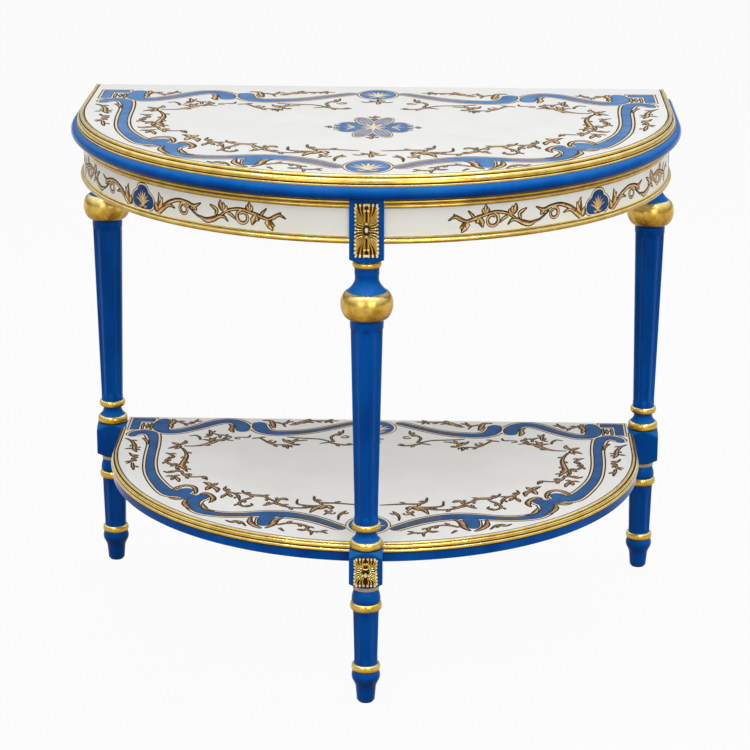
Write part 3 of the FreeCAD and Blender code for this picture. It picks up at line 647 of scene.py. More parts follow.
upper_chamfer_top = UPPER_BLOCK_BASE + UPPER_CHAMFER
upper_profile_leg = (
    bead(LOWER_BLOCK_TOP, COLLAR_TOP, 19.9, 3.9, RING)
    + hollow(COLLAR_TOP, 19.6, COVE_TOP, 15, 2.2, BLUE)
    + bead(COVE_TOP, RING_TOP, 17.6, 3.1, RING)
    + fluted_run(RING_TOP, 17, SHAFT_TOP, 23.5, BLUE)
    + hollow(SHAFT_TOP, 23.5, SEAT_TOP, 25, 0.6, BLUE, 5)
    + ball(SEAT_TOP, BALL_TOP, 25, 10.3, GOLD, 24, 27.5)
    + hollow(BALL_TOP, 27.2, FLARE_TOP, 17.2, 4.4, BLUE)
    + line(FLARE_TOP, 17.2, NECK_TOP, 17.2, BLUE)
    + bead(NECK_TOP, UPPER_BLOCK_BASE, 17.4, 2.8, RING)
    + line(UPPER_BLOCK_BASE, 20.3, upper_chamfer_top, CORNER, BLUE, 6)
    + line(upper_chamfer_top, CORNER, upper_leg_high.z, CORNER, BLUE, 4)
)
square_base = LOWER_BLOCK_BASE + LOWER_CHAMFER
square_top = LOWER_BLOCK_TOP - LOWER_CHAMFER
lower_profile_leg = (
    line(0, 10.8, *FOOT[0], BLUE, 3)
    + [(z, radius, BLUE) for z, radius in curve_through(FOOT, 4)]
    + bead(FOOT_TOP, ANKLET_TOP, 17.6, 3.3, RING)
    + fluted_run(ANKLET_TOP, 17.3, ANKLE_TOP, 19.2, BLUE)
    + bead(ANKLE_TOP, GARTER_TOP, 19.4, 3.7, RING)
    + bead(GARTER_TOP, CUSHION_TOP, 19.4, 2.8, BLUE, 14, 15)
    + line(CUSHION_TOP, 18.8, LOWER_BLOCK_BASE, 18.8, DULL)
    + line(LOWER_BLOCK_BASE, 18.8, square_base, CORNER, BLUE, 8)
    + line(square_base, CORNER, square_top, CORNER, BLUE, 4)
    + line(square_top, CORNER, LOWER_BLOCK_TOP, 23.7, BLUE, 8)
)
SHAFT_FLUTES = (RING_TOP + 8, SHAFT_TOP - 8, 2.2)
ANKLE_FLUTES = (ANKLET_TOP + 6, ANKLE_TOP - 6, 1.5)
LEG_FINISHES = [blue_lacquer, gold_leaf, dull_gold, rim_gold]

for place in ("front", "left", "right"):
    upper_low, upper_high = levels(f"upper_leg_{place}")
    centre = ((upper_low.x + upper_high.x) / 2, (upper_low.y + upper_high.y) / 2)
    for part, profile, fluted in (
        ("upper", upper_profile_leg, SHAFT_FLUTES),
        ("lower", lower_profile_leg, ANKLE_FLUTES),
    ):
        leg = Sheet()
        finishes = [tint for z, radius, tint in profile]
        leg.add_rows(turned_rows(profile, centre, fluted), tints=lambda row, k: finishes[row + 1])
        make_piece(
            f"{part}_turning_{place}", leg, LEG_FINISHES, [f"{part}_leg_{place}"],
            sharp=40,
        )


# Carved plaques on the front leg

PLAQUE_GROUND = 1.2
TALL_PLAQUE = 30
RIB_SECTION = ((-0.5, 0), (-0.4, 0.6), (-0.2, 0.93), (0, 1), (0.2, 0.93), (0.4, 0.6), (0.5, 0))
RIB_WIDTHS, RIB_HEIGHTS, HIGHLIGHT_TIP = (0.9, 3.5), (1.6, 3.4), 0.72
KNOB_ROWS, KNOB_SPAN, KNOB_STEPS = 7, 6.2, 14


def carved_rib(sheet, place, path, widths, heights, tip=1.0):
    """A carved leaf: a rounded ridge along a path, with a painted highlight past the tip share."""
    run = curve_through(path, 5)
    rows = []
    for k, (x, z) in enumerate(run):
        nx, nz = across_run(run, k)
        share = k / (len(run) - 1)
        width = widths[0] + (widths[1] - widths[0]) * share
        height = heights[0] + (heights[1] - heights[0]) * share
        rows.append([
            place(x + nx * offset * width, z + nz * offset * width, rise * height)
            for offset, rise in RIB_SECTION
        ])
    sheet.add_rows(rows, tints=lambda row, k: 2 if row >= tip * (len(rows) - 1) else 0, flip=True)


def dome(sheet, place, x, z, half_width, half_height, rise):
    """A rounded knob standing on the plaque, coloured as a painted highlight."""
    rows = []
    for k in range(KNOB_ROWS):
        angle = QUARTER * k / KNOB_SPAN
        spread = math.cos(angle)
        ring = oval(x, z, half_width * spread, half_height * spread, steps=KNOB_STEPS)
        rows.append([place(spot_x, spot_z, rise * math.sin(angle)) for spot_x, spot_z in ring])
    sheet.add_rows(rows, tints=lambda row, k: 2)


def feather(sheet, place, half_width, half_height, leaves, waist, crown, bend):
    """Leaves of the four quarters, springing from the middle line and bending out to the edge."""
    quarter = half_width + half_height
    for number in range(leaves):
        around = quarter * (number + 0.5) / leaves
        end_x = min(half_width, quarter - around)
        end_z = min(half_height, around)
        start_z = waist + (crown - waist) * (number / leaves) ** 0.8
        start_x = 4.6 if number < 2 else 2.6
        run_x, run_z = end_x - start_x, end_z - start_z
        bend_x = start_x + run_x * 0.6 - run_z * bend
        bend_z = start_z + run_z * 0.45 + run_x * bend
        spine = ((start_x, start_z), (bend_x, bend_z), (end_x, end_z))
        for side, way in ((-1, -1), (-1, 1), (1, -1), (1, 1)):
            path = [(side * x, way * z) for x, z in spine]
            carved_rib(sheet, place, path, RIB_WIDTHS, RIB_HEIGHTS, HIGHLIGHT_TIP)


def carve_plaque(name, node, leaves, bend):
    """A plate in painted shade covered with carved leaves round an upright bud."""
    low, high = levels(node)
    middle_z = (low.z + high.z) / 2
    half_width = (high.x - low.x) / 2
    half_height = (high.z - low.z) / 2
    face_y = high.y
    tall = half_height > TALL_PLAQUE

    def place(x, z, rise):
        return (x, face_y - PLAQUE_GROUND - rise, middle_z + z)

    carving = Sheet()
    corners = ((-1, -1), (1, -1), (1, 1), (-1, 1))
    rows = []
    for inset, depth in ((0, 0), (0, PLAQUE_GROUND - 0.5), (0.6, PLAQUE_GROUND)):
        rows.append([
            (sx * (half_width - inset), face_y - depth, middle_z + sz * (half_height - inset))
            for sx, sz in corners
        ])
    # The sunk plate takes the dark brown: painted shade between the leaves.
    carving.add_rows(rows, tints=lambda row, k: 1)
    stem = half_height * 0.72
    feather(carving, place, half_width - 0.6, half_height - 0.6, leaves, 1.5, half_height * 0.5, bend)
    for way in (-1, 1):
        if tall:
            for side in (-1, 1):
                path = [(side * 0.8, way * 9), (side * 2.2, way * 13), (side * 2.2, way * stem)]
                carved_rib(carving, place, path, (2.0, 2.4), (2.6, 3.2))
                dome(carving, place, side * 2.4, way * stem, 1.9, 1.9, 3.9)
            dome(carving, place, 0, way * 9, 2.0, 1.6, 3.8)
            dome(carving, place, 0, way * (half_height - 2), 2.2, 1.8, 3.4)
        else:
            swirl = [(0, 4), (way * 4, 6), (way * 4.5, 10.5), (way * 1.5, 13), (way * 0.5, 10.5)]
            carved_rib(carving, place, swirl, (2.6, 2.2), (2.8, 3.4))
            dome(carving, place, way * 4.2, -5, 2.0, 1.7, 3.4)
    dome(carving, place, 0, 0 if tall else -5, 2.4, 3.6, 4.2)
    make_piece(name, carving, [rim_gold, painted_shade_gold, painted_highlight_gold], [node], sharp=60)


carve_plaque("upper_carving", "upper_plaque", 9, -0.05)
carve_plaque("lower_carving", "lower_plaque", 7, -0.16)


# Painted ornament: strokes with few points, laid on a surface as thin raised paint

# Paint, material slot and thickness of each layer
PAINTS = {
    "line": ("line", "gold_leaf", 0.05),
    "beige": ("beige", "white_lacquer", 0.09),
    "inner_line": ("line", "gold_leaf", 0.12),
    "blue": ("blue", "blue_lacquer", 0.16),
    "leaf_line": ("line", "gold_leaf", 0.2),
    "gold": ("gold", "gold_leaf", 0.25),
    "bronze": ("bronze", "gold_leaf", 0.25),
    "umber": ("umber", "gold_leaf", 0.3),
    "cream": ("beige", "white_lacquer", 0.25),
    "navy": ("navy", "blue_lacquer", 0.16),
    "sky": ("sky", "blue_lacquer", 0.16),
    "shade": ("grey", "blue_lacquer", 0.19),
    "mist": ("mist", "blue_lacquer", 0.19),
    "stripe": ("beige", "white_lacquer", 0.36),
    "lilac": ("lilac", "blue_lacquer", 0.32),
    "star": ("beige", "white_lacquer", 0.38),
}
BAND_SECTION = ((0.5, 0.0), (0.46, 0.8), (0, 1.0), (-0.46, 0.8), (-0.5, 0.0))
PATCH_SECTION = ((1.0, 0.0), (0.985, 0.8), (0.6, 1.0), (0.02, 1.0))


class Ground:
    """A surface to be painted: several ways of placing a design point, one per mirror image."""

    def __init__(self, name, places, boldness=1.0, fill="blue", shade="shade", leaf="gold"):
        self.name = name
        self.places = places
        self.boldness = boldness
        self.fill = fill
        self.shade = shade
        self.leaf = leaf
        self.sheets = {paint: Sheet() for paint in PAINTS}

    def lay(self, paint, rows, turned=False):
        """Lay rows of (x, y, share of the paint's thickness) on every mirror image."""
        lift = PAINTS[paint][2]
        for place, flip in self.places:
            skin = [[place(x, y, lift * share) for x, y, share in row] for row in rows]
            self.sheets[paint].add_rows(skin, flip=flip != turned)

    def finish(self):
        for paint, sheet in self.sheets.items():
            if sheet.faces:
                finish, slot = PAINTS[paint][:2]
                make_piece(
                    f"{self.name}_{paint}", sheet, [paint_finishes[finish]], sharp=50
                )


def rounded_run(run, extra):
    """Give a run round ends: the width falls off along a half circle, with close samples there."""
    lengths = [0.0]
    for a, b in zip(run, run[1:]):
        lengths.append(lengths[-1] + math.dist(a[:2], b[:2]))
    total = lengths[-1]
    half_first = min((run[0][2] + extra) / 2, total / 2)
    half_last = min((run[-1][2] + extra) / 2, total / 2)
    close = (0.0, 0.06, 0.2, 0.4, 0.7, 1.0)
    wanted = sorted(
        {share * half_first for share in close}
        | {total - share * half_last for share in close}
        | {s for s in lengths if half_first < s < total - half_last}
    )
    out = []
    k = 0
    for s in wanted:
        while k < len(lengths) - 2 and lengths[k + 1] < s:
            k += 1
        t = (s - lengths[k]) / max(lengths[k + 1] - lengths[k], 1e-9)
        x, y, w = (a + (b - a) * t for a, b in zip(run[k], run[k + 1]))
        end = min(s / max(half_first, 1e-6), (total - s) / max(half_last, 1e-6), 1)
        out.append((x, y, max(w + extra, 0.2) * math.sqrt(max(0.0004, 1 - (1 - end) ** 2))))
    return out


def lay_band(ground, paint, run):
    """One closed strip of paint along a run of (x, y, width)."""
    rows = []
    for k, (x, y, w) in enumerate(run):
        nx, ny = across_run(run, k)
        rows.append([(x + nx * w * offset, y + ny * w * offset, share) for offset, share in BAND_SECTION])
    ground.lay(paint, rows)


LEAF_WIDTH = 4.5
FLANK_OFFSET, FLANK_WIDTH = 0.26, 0.4


def stroke(ground, points, paint=None, edge=3.2, grow=1.4):
    """A leaf, stem or tendril: a filled band over a dark one; a leaf is darker along one side."""
    run = curve_through(points)
    lay_band(ground, "leaf_line", rounded_run(run, grow * ground.boldness))
    leaf = rounded_run(run, (grow - edge) * ground.boldness)
    lay_band(ground, paint or ground.leaf, leaf)
    if paint is None and max(width for x, y, width in points) >= LEAF_WIDTH:
        flank = []
        for k, (x, y, width) in enumerate(leaf):
            nx, ny = across_run(leaf, k)
            flank.append((
                x + nx * width * FLANK_OFFSET, y + ny * width * FLANK_OFFSET, width * FLANK_WIDTH
            ))
        lay_band(ground, "umber", flank)


def strap(ground, points, beige=5.0):
    """Blue strapwork between dark lines and beige borders."""
    run = curve_through(points)
    edge = 2.6 * ground.boldness
    lay_band(ground, "line", rounded_run(run, beige + 2 * edge))
    lay_band(ground, "beige", rounded_run(run, beige + edge))
    lay_band(ground, "inner_line", rounded_run(run, edge))
    lay_band(ground, ground.fill, rounded_run(run, 0))


CURL_STEPS = 8


def curl(ground, x, y, radius, width, start, sweep_angle):
    """A tendril rolled into a ring, angles in degrees."""
    points = []
    for k in range(CURL_STEPS + 1):
        share = k / CURL_STEPS
        angle = math.radians(start + sweep_angle * share)
        reach = radius * (1 - 0.35 * share)
        points.append((
            x + reach * math.cos(angle), y + reach * math.sin(angle), width * (1 - 0.4 * share)
        ))
    stroke(ground, points, edge=2.2)


def frond(ground, root, tips, width):
    """Leaf lobes spreading from one root, each bending a little to its own side."""
    for number, tip in enumerate(tips):
        bend = 0.12 * (number - (len(tips) - 1) / 2)
        run_x, run_y = tip[0] - root[0], tip[1] - root[1]
        middle_x = root[0] + run_x * 0.5 - run_y * bend
        middle_y = root[1] + run_y * 0.5 + run_x * bend
        stroke(ground, [(*root, width * 0.5), (middle_x, middle_y, width * 1.2), (*tip, 0.5)])


FULL_STEM = 4


def leaflets(ground, points):
    """Small leaves springing from the fuller places of a stem, to either side in turn."""
    for k in range(1, len(points) - 1):
        x, y, width = points[k]
        if width < FULL_STEM:
            continue
        run_x, run_y = points[k + 1][0] - points[k - 1][0], points[k + 1][1] - points[k - 1][1]
        length = math.hypot(run_x, run_y)
        run_x, run_y = run_x / length, run_y / length
        side = 1 if k % 2 else -1
        out_x, out_y = -run_y * side, run_x * side
        middle = (x + out_x * 5 + run_x * 1.5, y + out_y * 5 + run_y * 1.5, 4.2)
        tip = (x + out_x * 8 + run_x * 7, y + out_y * 8 + run_y * 7, 0.5)
        stroke(ground, [(x, y, 2.5), middle, tip])


def patch(ground, paint, outline, centre, grow):
    """A filled shape: its outline, grown about its centre, rounded over its edge."""
    middle_x, middle_y = centre
    rows = []
    for share, height in PATCH_SECTION:
        row = []
        for x, y in outline:
            reach = math.hypot(x - middle_x, y - middle_y)
            scale = share * (reach + grow) / reach
            row.append((middle_x + (x - middle_x) * scale, middle_y + (y - middle_y) * scale, height))
        rows.append(row)
    ground.lay(paint, rows)


def cartouche(ground, outline, centre, border, fill=None):
    """A blue field inside a beige border with dark lines on both sides."""
    edge = 1.2 * ground.boldness
    patch(ground, "line", outline, centre, border + edge)
    patch(ground, "beige", outline, centre, border)
    patch(ground, "inner_line", outline, centre, edge * 0.8)
    patch(ground, fill or ground.fill, outline, centre, 0)


PALMETTE_TIPS = (
    (-1, 0.05), (-0.78, 0.5), (-0.4, 0.82), (0, 0.98), (0.4, 0.82), (0.78, 0.5), (1, 0.05),
)


def palmette(ground, x, y, size, spread=1, paint="cream"):
    """Seven spread leaves on a short stem with two curls at its foot."""
    root_y = y - size * 0.55
    leaves = []
    for dx, dy in PALMETTE_TIPS:
        tip = (x + dx * size * spread, y + dy * size * 0.85, 0.8)
        middle = (x + dx * size * spread * 0.5, y + (dy * 0.85 - 0.3) * size * 0.6, size * 0.21)
        leaves.append([(x + dx * 1.5, root_y, size * 0.1), middle, tip])
    for dx in (-1, 1):
        middle = (x + dx * size * spread * 0.34, root_y - size * 0.18, size * 0.2)
        tip = (x + dx * size * spread * 0.6, root_y + size * 0.04, 0.6)
        leaves.append([(x, root_y, size * 0.16), middle, tip])
    for points in leaves:
        stroke(ground, points, paint=paint, edge=1.3, grow=0.5)


def corner_bracket(ground):
    """An L of strapwork with square corners in the rear corner of the field."""
    for paint, grow in (("line", 5.0), ("beige", 3.6), ("inner_line", 1.2), (ground.fill, 0)):
        rows = []
        for inset, share in ((0, 0), (0.3, 1)):
            g = grow - inset
            left, inner, right = BRACKET_LEFT - g, BRACKET_INNER + g, BRACKET_RIGHT + g
            foot, under, top = BRACKET_FOOT - g, BRACKET_UNDER - g, BRACKET_TOP + g
            outline = (
                (left, foot), (inner, foot), (inner, under), (right, under), (right, top), (left, top)
            )
            rows.append([(x, y, share) for x, y in outline])
        ground.lay(paint, rows, turned=True)


# Strapwork of the left half, shared by the top and the shelf: x from the middle, y from the back
STRAPS = [
    # wave along the back, outer half
    [(-341, -17, 12), (-345, -38, 24), (-346, -61, 25), (-338, -78, 20), (-322, -81, 17), (-304, -72, 15),
     (-285, -57, 15), (-270, -42, 16), (-254, -29, 17), (-238, -25, 17), (-226, -31, 19), (-217, -45, 22),
     (-214, -61, 22), (-216, -78, 15)],
    # wave along the back, inner half
    [(-188, -28, 13), (-189, -40, 21), (-187, -56, 23), (-179, -72, 21), (-162, -81, 17), (-140, -80, 16),
     (-115, -74, 14), (-90, -62, 12), (-65, -46, 11), (-45, -32, 10), (-30, -24, 9)],
    # side run with its hooked head, down to the knot
    [(-388, -108, 9), (-384, -92, 14), (-371, -84, 16), (-358, -91, 17), (-353, -107, 15), (-350, -127, 13),
     (-348, -152, 12), (-347, -190, 12), (-345, -225, 12), (-341, -258, 13), (-335, -286, 14),
     (-325, -315, 16), (-311, -346, 19), (-298, -363, 23), (-285, -362, 24), (-277, -350, 21),
     (-274, -341, 14)],
    # front run from the knot to the front medallion
    [(-246, -366, 13), (-250, -377, 19), (-259, -387, 21), (-261, -405, 18), (-256, -424, 15),
     (-246, -438, 14), (-229, -446, 14), (-208, -450, 13), (-184, -449, 13), (-164, -446, 16),
     (-142, -445, 20), (-119, -447, 20), (-98, -454, 18), (-75, -467, 16), (-54, -484, 14), (-33, -503, 12)],
]
KNOT_LINK = [(-288, -364, 21), (-274, -374, 22), (-259, -385, 19)]
HOOK = [(-146, -450, 28), (-149, -464, 24), (-152, -480, 18), (-151, -494, 11)]

# The straps turn from blue to grey where they run thin
GREY_RUNS = [
    [(-113, -449, 1), (-98, -454, 16)] + STRAPS[3][-3:],
    [(-130, -79, 1), (-115, -74, 13)] + STRAPS[1][-4:],
    [(-236, -444, 1), (-222, -448, 11), (-208, -450, 12), (-190, -449, 11), (-172, -446, 1)],
    [(-322, -81, 1), (-304, -72, 6), (-285, -57, 7), (-268, -41, 1)],
]
BRACKET_LEFT, BRACKET_INNER, BRACKET_RIGHT = -394, -381, -359
BRACKET_TOP, BRACKET_UNDER, BRACKET_FOOT = -17, -33, -72
BRACKET_TIES = [
    [(-375, -40, 3), (-376, -55, 4), (-375, -70, 3)],
    [(-362, -40, 3), (-361, -55, 4), (-362, -70, 3)],
    [(-375, -55, 2), (-368, -52, 5), (-362, -55, 2)],
    [(-368, -42, 1), (-368, -55, 5), (-368, -68, 1)],
]

# Gold leaves wrapped round the straps
WRAPS = [
    [(-331, -18, 4), (-327, -32, 8), (-331, -47, 8), (-327, -63, 3)],
    [(-238, -41, 3), (-231, -52, 7), (-232, -68, 8), (-227, -82, 2)],
    [(-186, -20, 3), (-172, -22, 7), (-167, -40, 8), (-164, -58, 3)],
    [(-297, -354, 3), (-291, -338, 7), (-279, -329, 7), (-267, -335, 7), (-262, -352, 6),
     (-262, -366, 2)],
    [(-256, -367, 2), (-247, -361, 6), (-237, -372, 8), (-233, -388, 8), (-238, -402, 2)],
    [(-300, -380, 2), (-288, -388, 7), (-273, -384, 3)],
    [(-273, -386, 3), (-274, -404, 8), (-268, -420, 7), (-259, -433, 2)],
    [(-248, -404, 2), (-244, -420, 8), (-238, -430, 5), (-226, -436, 2)],
    [(-171, -456, 2), (-172, -476, 8), (-164, -493, 8), (-153, -504, 3)],
    [(-124, -456, 3), (-135, -470, 10), (-138, -487, 9), (-148, -503, 3)],
    [(-369, -113, 4), (-361, -127, 5), (-358, -145, 2)],
]

# Stems and tendrils between the straps and the open field
STEMS = [
    [(-300, -150, 2), (-282, -149, 3), (-268, -142, 7), (-257, -131, 9), (-248, -119, 6),
     (-238, -117, 4), (-224, -122, 1)],
    [(-296, -102, 1), (-286, -98, 3), (-279, -108, 3), (-277, -120, 2)],
    [(-272, -107, 3), (-263, -98, 4), (-264, -82, 5), (-267, -70, 1)],
    [(-262, -86, 2), (-249, -96, 4), (-247, -110, 3)],
    [(-238, -90, 1), (-236, -100, 4), (-242, -116, 3)],
    [(-214, -104, 2), (-202, -104, 3), (-200, -93, 1)],
    [(-196, -110, 2), (-184, -107, 4), (-175, -119, 3), (-167, -130, 4), (-157, -138, 4),
     (-141, -138, 3)],
    [(-147, -109, 1), (-143, -119, 5), (-135, -126, 7), (-126, -118, 6), (-107, -114, 2)],
    [(-141, -99, 1), (-130, -103, 3), (-107, -106, 3), (-88, -109, 3), (-72, -119, 3)],
    [(-130, -127, 3), (-128, -137, 4), (-119, -139, 1)],
    [(-88, -130, 1), (-73, -124, 4), (-59, -132, 5), (-44, -135, 4), (-34, -131, 1)],
    [(-65, -121, 3), (-71, -100, 3.5), (-65, -86, 4), (-55, -79, 4), (-53, -62, 1)],
    [(-302, -158, 3), (-294, -180, 4), (-291, -200, 6), (-293, -223, 8), (-294, -241, 9),
     (-288, -256, 5), (-283, -269, 1)],
    [(-326, -183, 1), (-318, -188, 4), (-311, -202, 4), (-320, -213, 4), (-319, -225, 4),
     (-311, -236, 5), (-300, -239, 6)],
    [(-320, -267, 1), (-311, -273, 5), (-300, -265, 5), (-297, -253, 3)],
    [(-293, -262, 3), (-288, -280, 4), (-280, -290, 4), (-268, -291, 3), (-254, -290, 4),
     (-250, -305, 1)],
    [(-218, -330, 1), (-220, -343, 4), (-212, -355, 5), (-203, -361, 4), (-196, -374, 4),
     (-194, -391, 1)],
    [(-193, -346, 1), (-189, -358, 4), (-177, -367, 7), (-160, -370, 7), (-151, -381, 4),
     (-139, -394, 4)],
    [(-177, -378, 5), (-189, -390, 5), (-193, -405, 4), (-183, -416, 4), (-174, -410, 3),
     (-176, -401, 1)],
    [(-139, -396, 4), (-136, -385, 6), (-128, -379, 5), (-122, -385, 1)],
    [(-158, -411, 2), (-150, -405, 6), (-139, -398, 4), (-130, -408, 6), (-116, -417, 4),
     (-97, -418, 4), (-82, -413, 5)],
    [(-108, -381, 1), (-107, -401, 3), (-92, -408, 4), (-72, -409, 5)],
    [(-84, -367, 1), (-82, -384, 4), (-72, -395, 5), (-51, -396, 4), (-28, -400, 3), (-14, -402, 1)],
    [(-66, -446, 1), (-60, -434, 4), (-54, -426, 3)],
    [(-44, -466, 1), (-44, -450, 3), (-40, -438, 5), (-34, -427, 1)],
    [(-396, -116, 2), (-386, -127, 4), (-378, -148, 6), (-376, -168, 6), (-370, -182, 1)],
    [(-382, -184, 1), (-376, -197, 4), (-368, -206, 4), (-373, -216, 4), (-374, -225, 4),
     (-381, -236, 1)],
    [(-372, -230, 3), (-369, -247, 5), (-366, -264, 1)],
    [(-208, -472, 1), (-198, -480, 5), (-186, -478, 5), (-176, -496, 1)],
    [(-132, -489, 4), (-116, -481, 5), (-98, -485, 4), (-87, -496, 5), (-92, -509, 4), (-101, -507, 1)],
    [(-128, -500, 5), (-120, -514, 1)],
    [(-90, -503, 3), (-81, -514, 4), (-81, -528, 1)],
    [(-82, -514, 3), (-66, -514, 4), (-57, -521, 1)],
    [(-330, -24, 3), (-320, -32, 5), (-307, -42, 5), (-298, -40, 4), (-293, -29, 4), (-289, -17, 1)],
    [(-164, -28, 4), (-149, -36, 5), (-145, -26, 4), (-142, -16, 1)],
    [(-152, -35, 3), (-146, -52, 1)],
    [(-141, -40, 2), (-132, -38, 6), (-122, -26, 8), (-113, -19, 6), (-96, -19, 4), (-78, -18, 4),
     (-62, -18, 1)],
]
FRONDS = [
    ((-308, -145), [(-300, -122), (-321, -134), (-324, -163), (-313, -166)], 6),
    ((-256, -128), [(-274, -117), (-263, -108), (-252, -104)], 5),
    ((-140, -137), [(-143, -150), (-136, -157), (-130, -150)], 4),
    ((-298, -238), [(-312, -246), (-302, -257), (-286, -250)], 5),
    ((-300, -290), [(-314, -291), (-303, -307), (-291, -315), (-292, -284)], 5),
    ((-244, -329), [(-255, -313), (-232, -316), (-248, -349), (-230, -358)], 7),
    ((-214, -362), [(-222, -382), (-206, -378)], 5),
    ((-63, -405), [(-87, -438), (-74, -424), (-57, -424)], 8),
    ((-116, -22), [(-118, -34), (-101, -29), (-106, -14)], 4),
    ((-78, -19), [(-84, -29), (-72, -30)], 3),
    ((-377, -163), [(-391, -168), (-366, -158)], 4),
]
CURLS = [
    (-218, -109, 5, 3, 30, 320), (-162, -122, 6, 3, 90, 320), (-49, -95, 6, 3.4, 180, 330),
    (-281, -281, 6, 3.4, 150, 320), (-54, -437, 5, 3, 90, 320),
]


def paint_vine(ground, strokes, fronds, curls, leafy=False):
    """Stems, fronds and curls, with leaflets on the stems where the vine is leafy."""
    for points in strokes:
        stroke(ground, points)
        if leafy:
            leaflets(ground, points)
    for root, tips, width in fronds:
        frond(ground, root, tips, width)
    for ring in curls:
        curl(ground, *ring)


def paint_field(ground):
    """The shared design of the top and the shelf."""
    for points in STRAPS:
        strap(ground, points)
    strap(ground, HOOK, 2)
    corner_bracket(ground)
    for points in BRACKET_TIES:
        stroke(ground, points)
    lay_band(ground, ground.fill, rounded_run(curve_through(KNOT_LINK), 0))
    for points in GREY_RUNS:
        lay_band(ground, ground.shade, rounded_run(curve_through(points), 0))
    for points in WRAPS:
        stroke(ground, points)
    paint_vine(ground, STEMS, FRONDS, CURLS, leafy=True)


def medallion(ground, y, half_width, half_height):
    """An oval field with a palmette."""
    cartouche(ground, oval(0, y, half_width, half_height), (0, y), 4)
    palmette(ground, 0, y - 2, half_height * 0.8, 0.95)


TOP_Z = panel_high.z
SHELF_Z = shelf_high.z


def top_place(x, y, lift):
    """A point on the top from its own rear edge, not stretched."""
    return (x, BACK_Y + y, TOP_Z + lift)


TOP_STRETCH_X, TOP_STRETCH_Y = 1.07, 1.045
TOP_SETBACK, DESIGN_SETBACK, SHELF_SETBACK = 42, 13, 3


def top_design(mirror):
    """The shared design stretched to the larger top and set back from its rear edge."""
    return lambda x, y, lift: (
        mirror * x * TOP_STRETCH_X, BACK_Y - TOP_SETBACK + (y + DESIGN_SETBACK) * TOP_STRETCH_Y, TOP_Z + lift
    )


def shelf_design(mirror):
    """The shared design on the shelf."""
    return lambda x, y, lift: (mirror * x, BACK_Y + y - SHELF_SETBACK, SHELF_Z + lift)


top_halves = [(top_design(1), True), (top_design(-1), False)]
shelf_halves = [(shelf_design(1), True), (shelf_design(-1), False)]
# The top's straps take the lighter sky and mist paints, painted sheen for glare; the shelf keeps the plain
# blue and grey.
for field in (
    Ground("top_strapwork", top_halves, 1.3, "sky", "mist"),
    Ground("shelf_strapwork", shelf_halves, 1.4, leaf="bronze"),
):
    paint_field(field)
    field.finish()

# The top's emblems also take the sky and mist paints: painted sheen.
top_middle = Ground("top_emblems", [(top_place, True)], 1.3, "sky", "mist")
medallion(top_middle, -62, 27, 32)
medallion(top_middle, -545, 30, 36)


def striped_petal(ground, x, y, side, way):
    """One of four striped petals that stand beside each other round the middle."""
    lean = math.atan2(way * 0.95, side * 0.3)
    centre = (x + side * 13, y + way * 36)
    for paint, grow in (("leaf_line", 1.5), ("cream", 0), ("lilac", -2.4)):
        patch(ground, paint, oval(*centre, 32, 13, lean, 32), centre, grow)
    for offset in (-5.6, 0, 5.6):
        points = []
        for along, width in ((-20, 0.8), (0, 2.2), (20, 0.8)):
            reach = along * (1 - abs(offset) / 24)
            points.append((*leaned(*centre, reach, offset, lean), width))
        lay_band(ground, "stripe", rounded_run(curve_through(points), 0))


def side_lobe(ground, x, y, side):
    """A blue lobe with a three-leaved sprig, a toothed outer edge and a small finial."""
    centre = (x + side * 37, y)
    cartouche(ground, oval(*centre, 17, 31), centre, 2.2)
    for lean_y in (-24, 0, 24):
        tip = (x + side * (41 if lean_y else 47), y + lean_y, 0.8)
        middle = (x + side * 34, y + lean_y * 0.35, 5)
        stroke(ground, [(x + side * 26, y, 2), middle, tip], paint="cream", edge=1.4, grow=0.5)
    for level in (-18, 0, 18):
        tooth = [(x + side * 49, y + level, 4), (x + side * (54 if level else 56), y + level * 0.9, 6)]
        tooth.append((x + side * (58 if level else 61), y + level * 0.8, 1))
        stroke(ground, tooth, paint="cream", edge=1.8)
    frond(ground, (x + side * 62, y), [
        (x + side * 71, y), (x + side * 66, y + 7), (x + side * 66, y - 7),
    ], 4)


def quatrefoil(ground, x, y):
    """Four striped petals between two blue side lobes, with a pale star in the middle."""
    for side in (-1, 1):
        side_lobe(ground, x, y, side)
        heart = (x + side * 16, y)
        patch(ground, ground.fill, oval(*heart, 10, 13), heart, 0)
    for way in (-1, 1):
        wedge = (x, y + way * 28)
        patch(ground, "inner_line", oval(*wedge, 9, 33), wedge, 1.2)
        patch(ground, ground.fill, oval(*wedge, 9, 33), wedge, 0)
        frond(ground, (x, y + way * 64), [
            (x, y + way * 78), (x - 9, y + way * 71), (x + 9, y + way * 71),
        ], 5)
        for side in (-1, 1):
            striped_petal(ground, x, y, side, way)
    for step in range(8):
        angle = math.radians(45 * step)
        reach_x, reach_y = 18 * math.cos(angle), 28 * math.sin(angle)
        ray = [(x, y, 2), (x + 0.5 * reach_x, y + 0.5 * reach_y, 5), (x + reach_x, y + reach_y, 1)]
        lay_band(ground, "star", rounded_run(curve_through(ray), 0))


quatrefoil(top_middle, 0, -295)
for level in (-112, -468):
    sprig = [(0, level + 16), (-13, level + 4), (13, level + 4), (0, level - 22)]
    frond(top_middle, (0, level - 6), sprig, 6)
    for side in (-1, 1):
        stroke(top_middle, [(side * 5, level - 3, 3), (side * 15, level - 8, 4), (side * 24, level - 4, 1)])
top_middle.finish()

shelf_middle = Ground("shelf_emblems", [(shelf_design(1), True)])
medallion(shelf_middle, -50, 27, 32)
medallion(shelf_middle, -484, 28, 34)
frond(shelf_middle, (0, -110), [(0, -92), (-13, -104), (13, -104), (0, -130)], 6)
shelf_middle.finish()


# Apron ornament: a cartouche with a running acanthus vine to each side of it

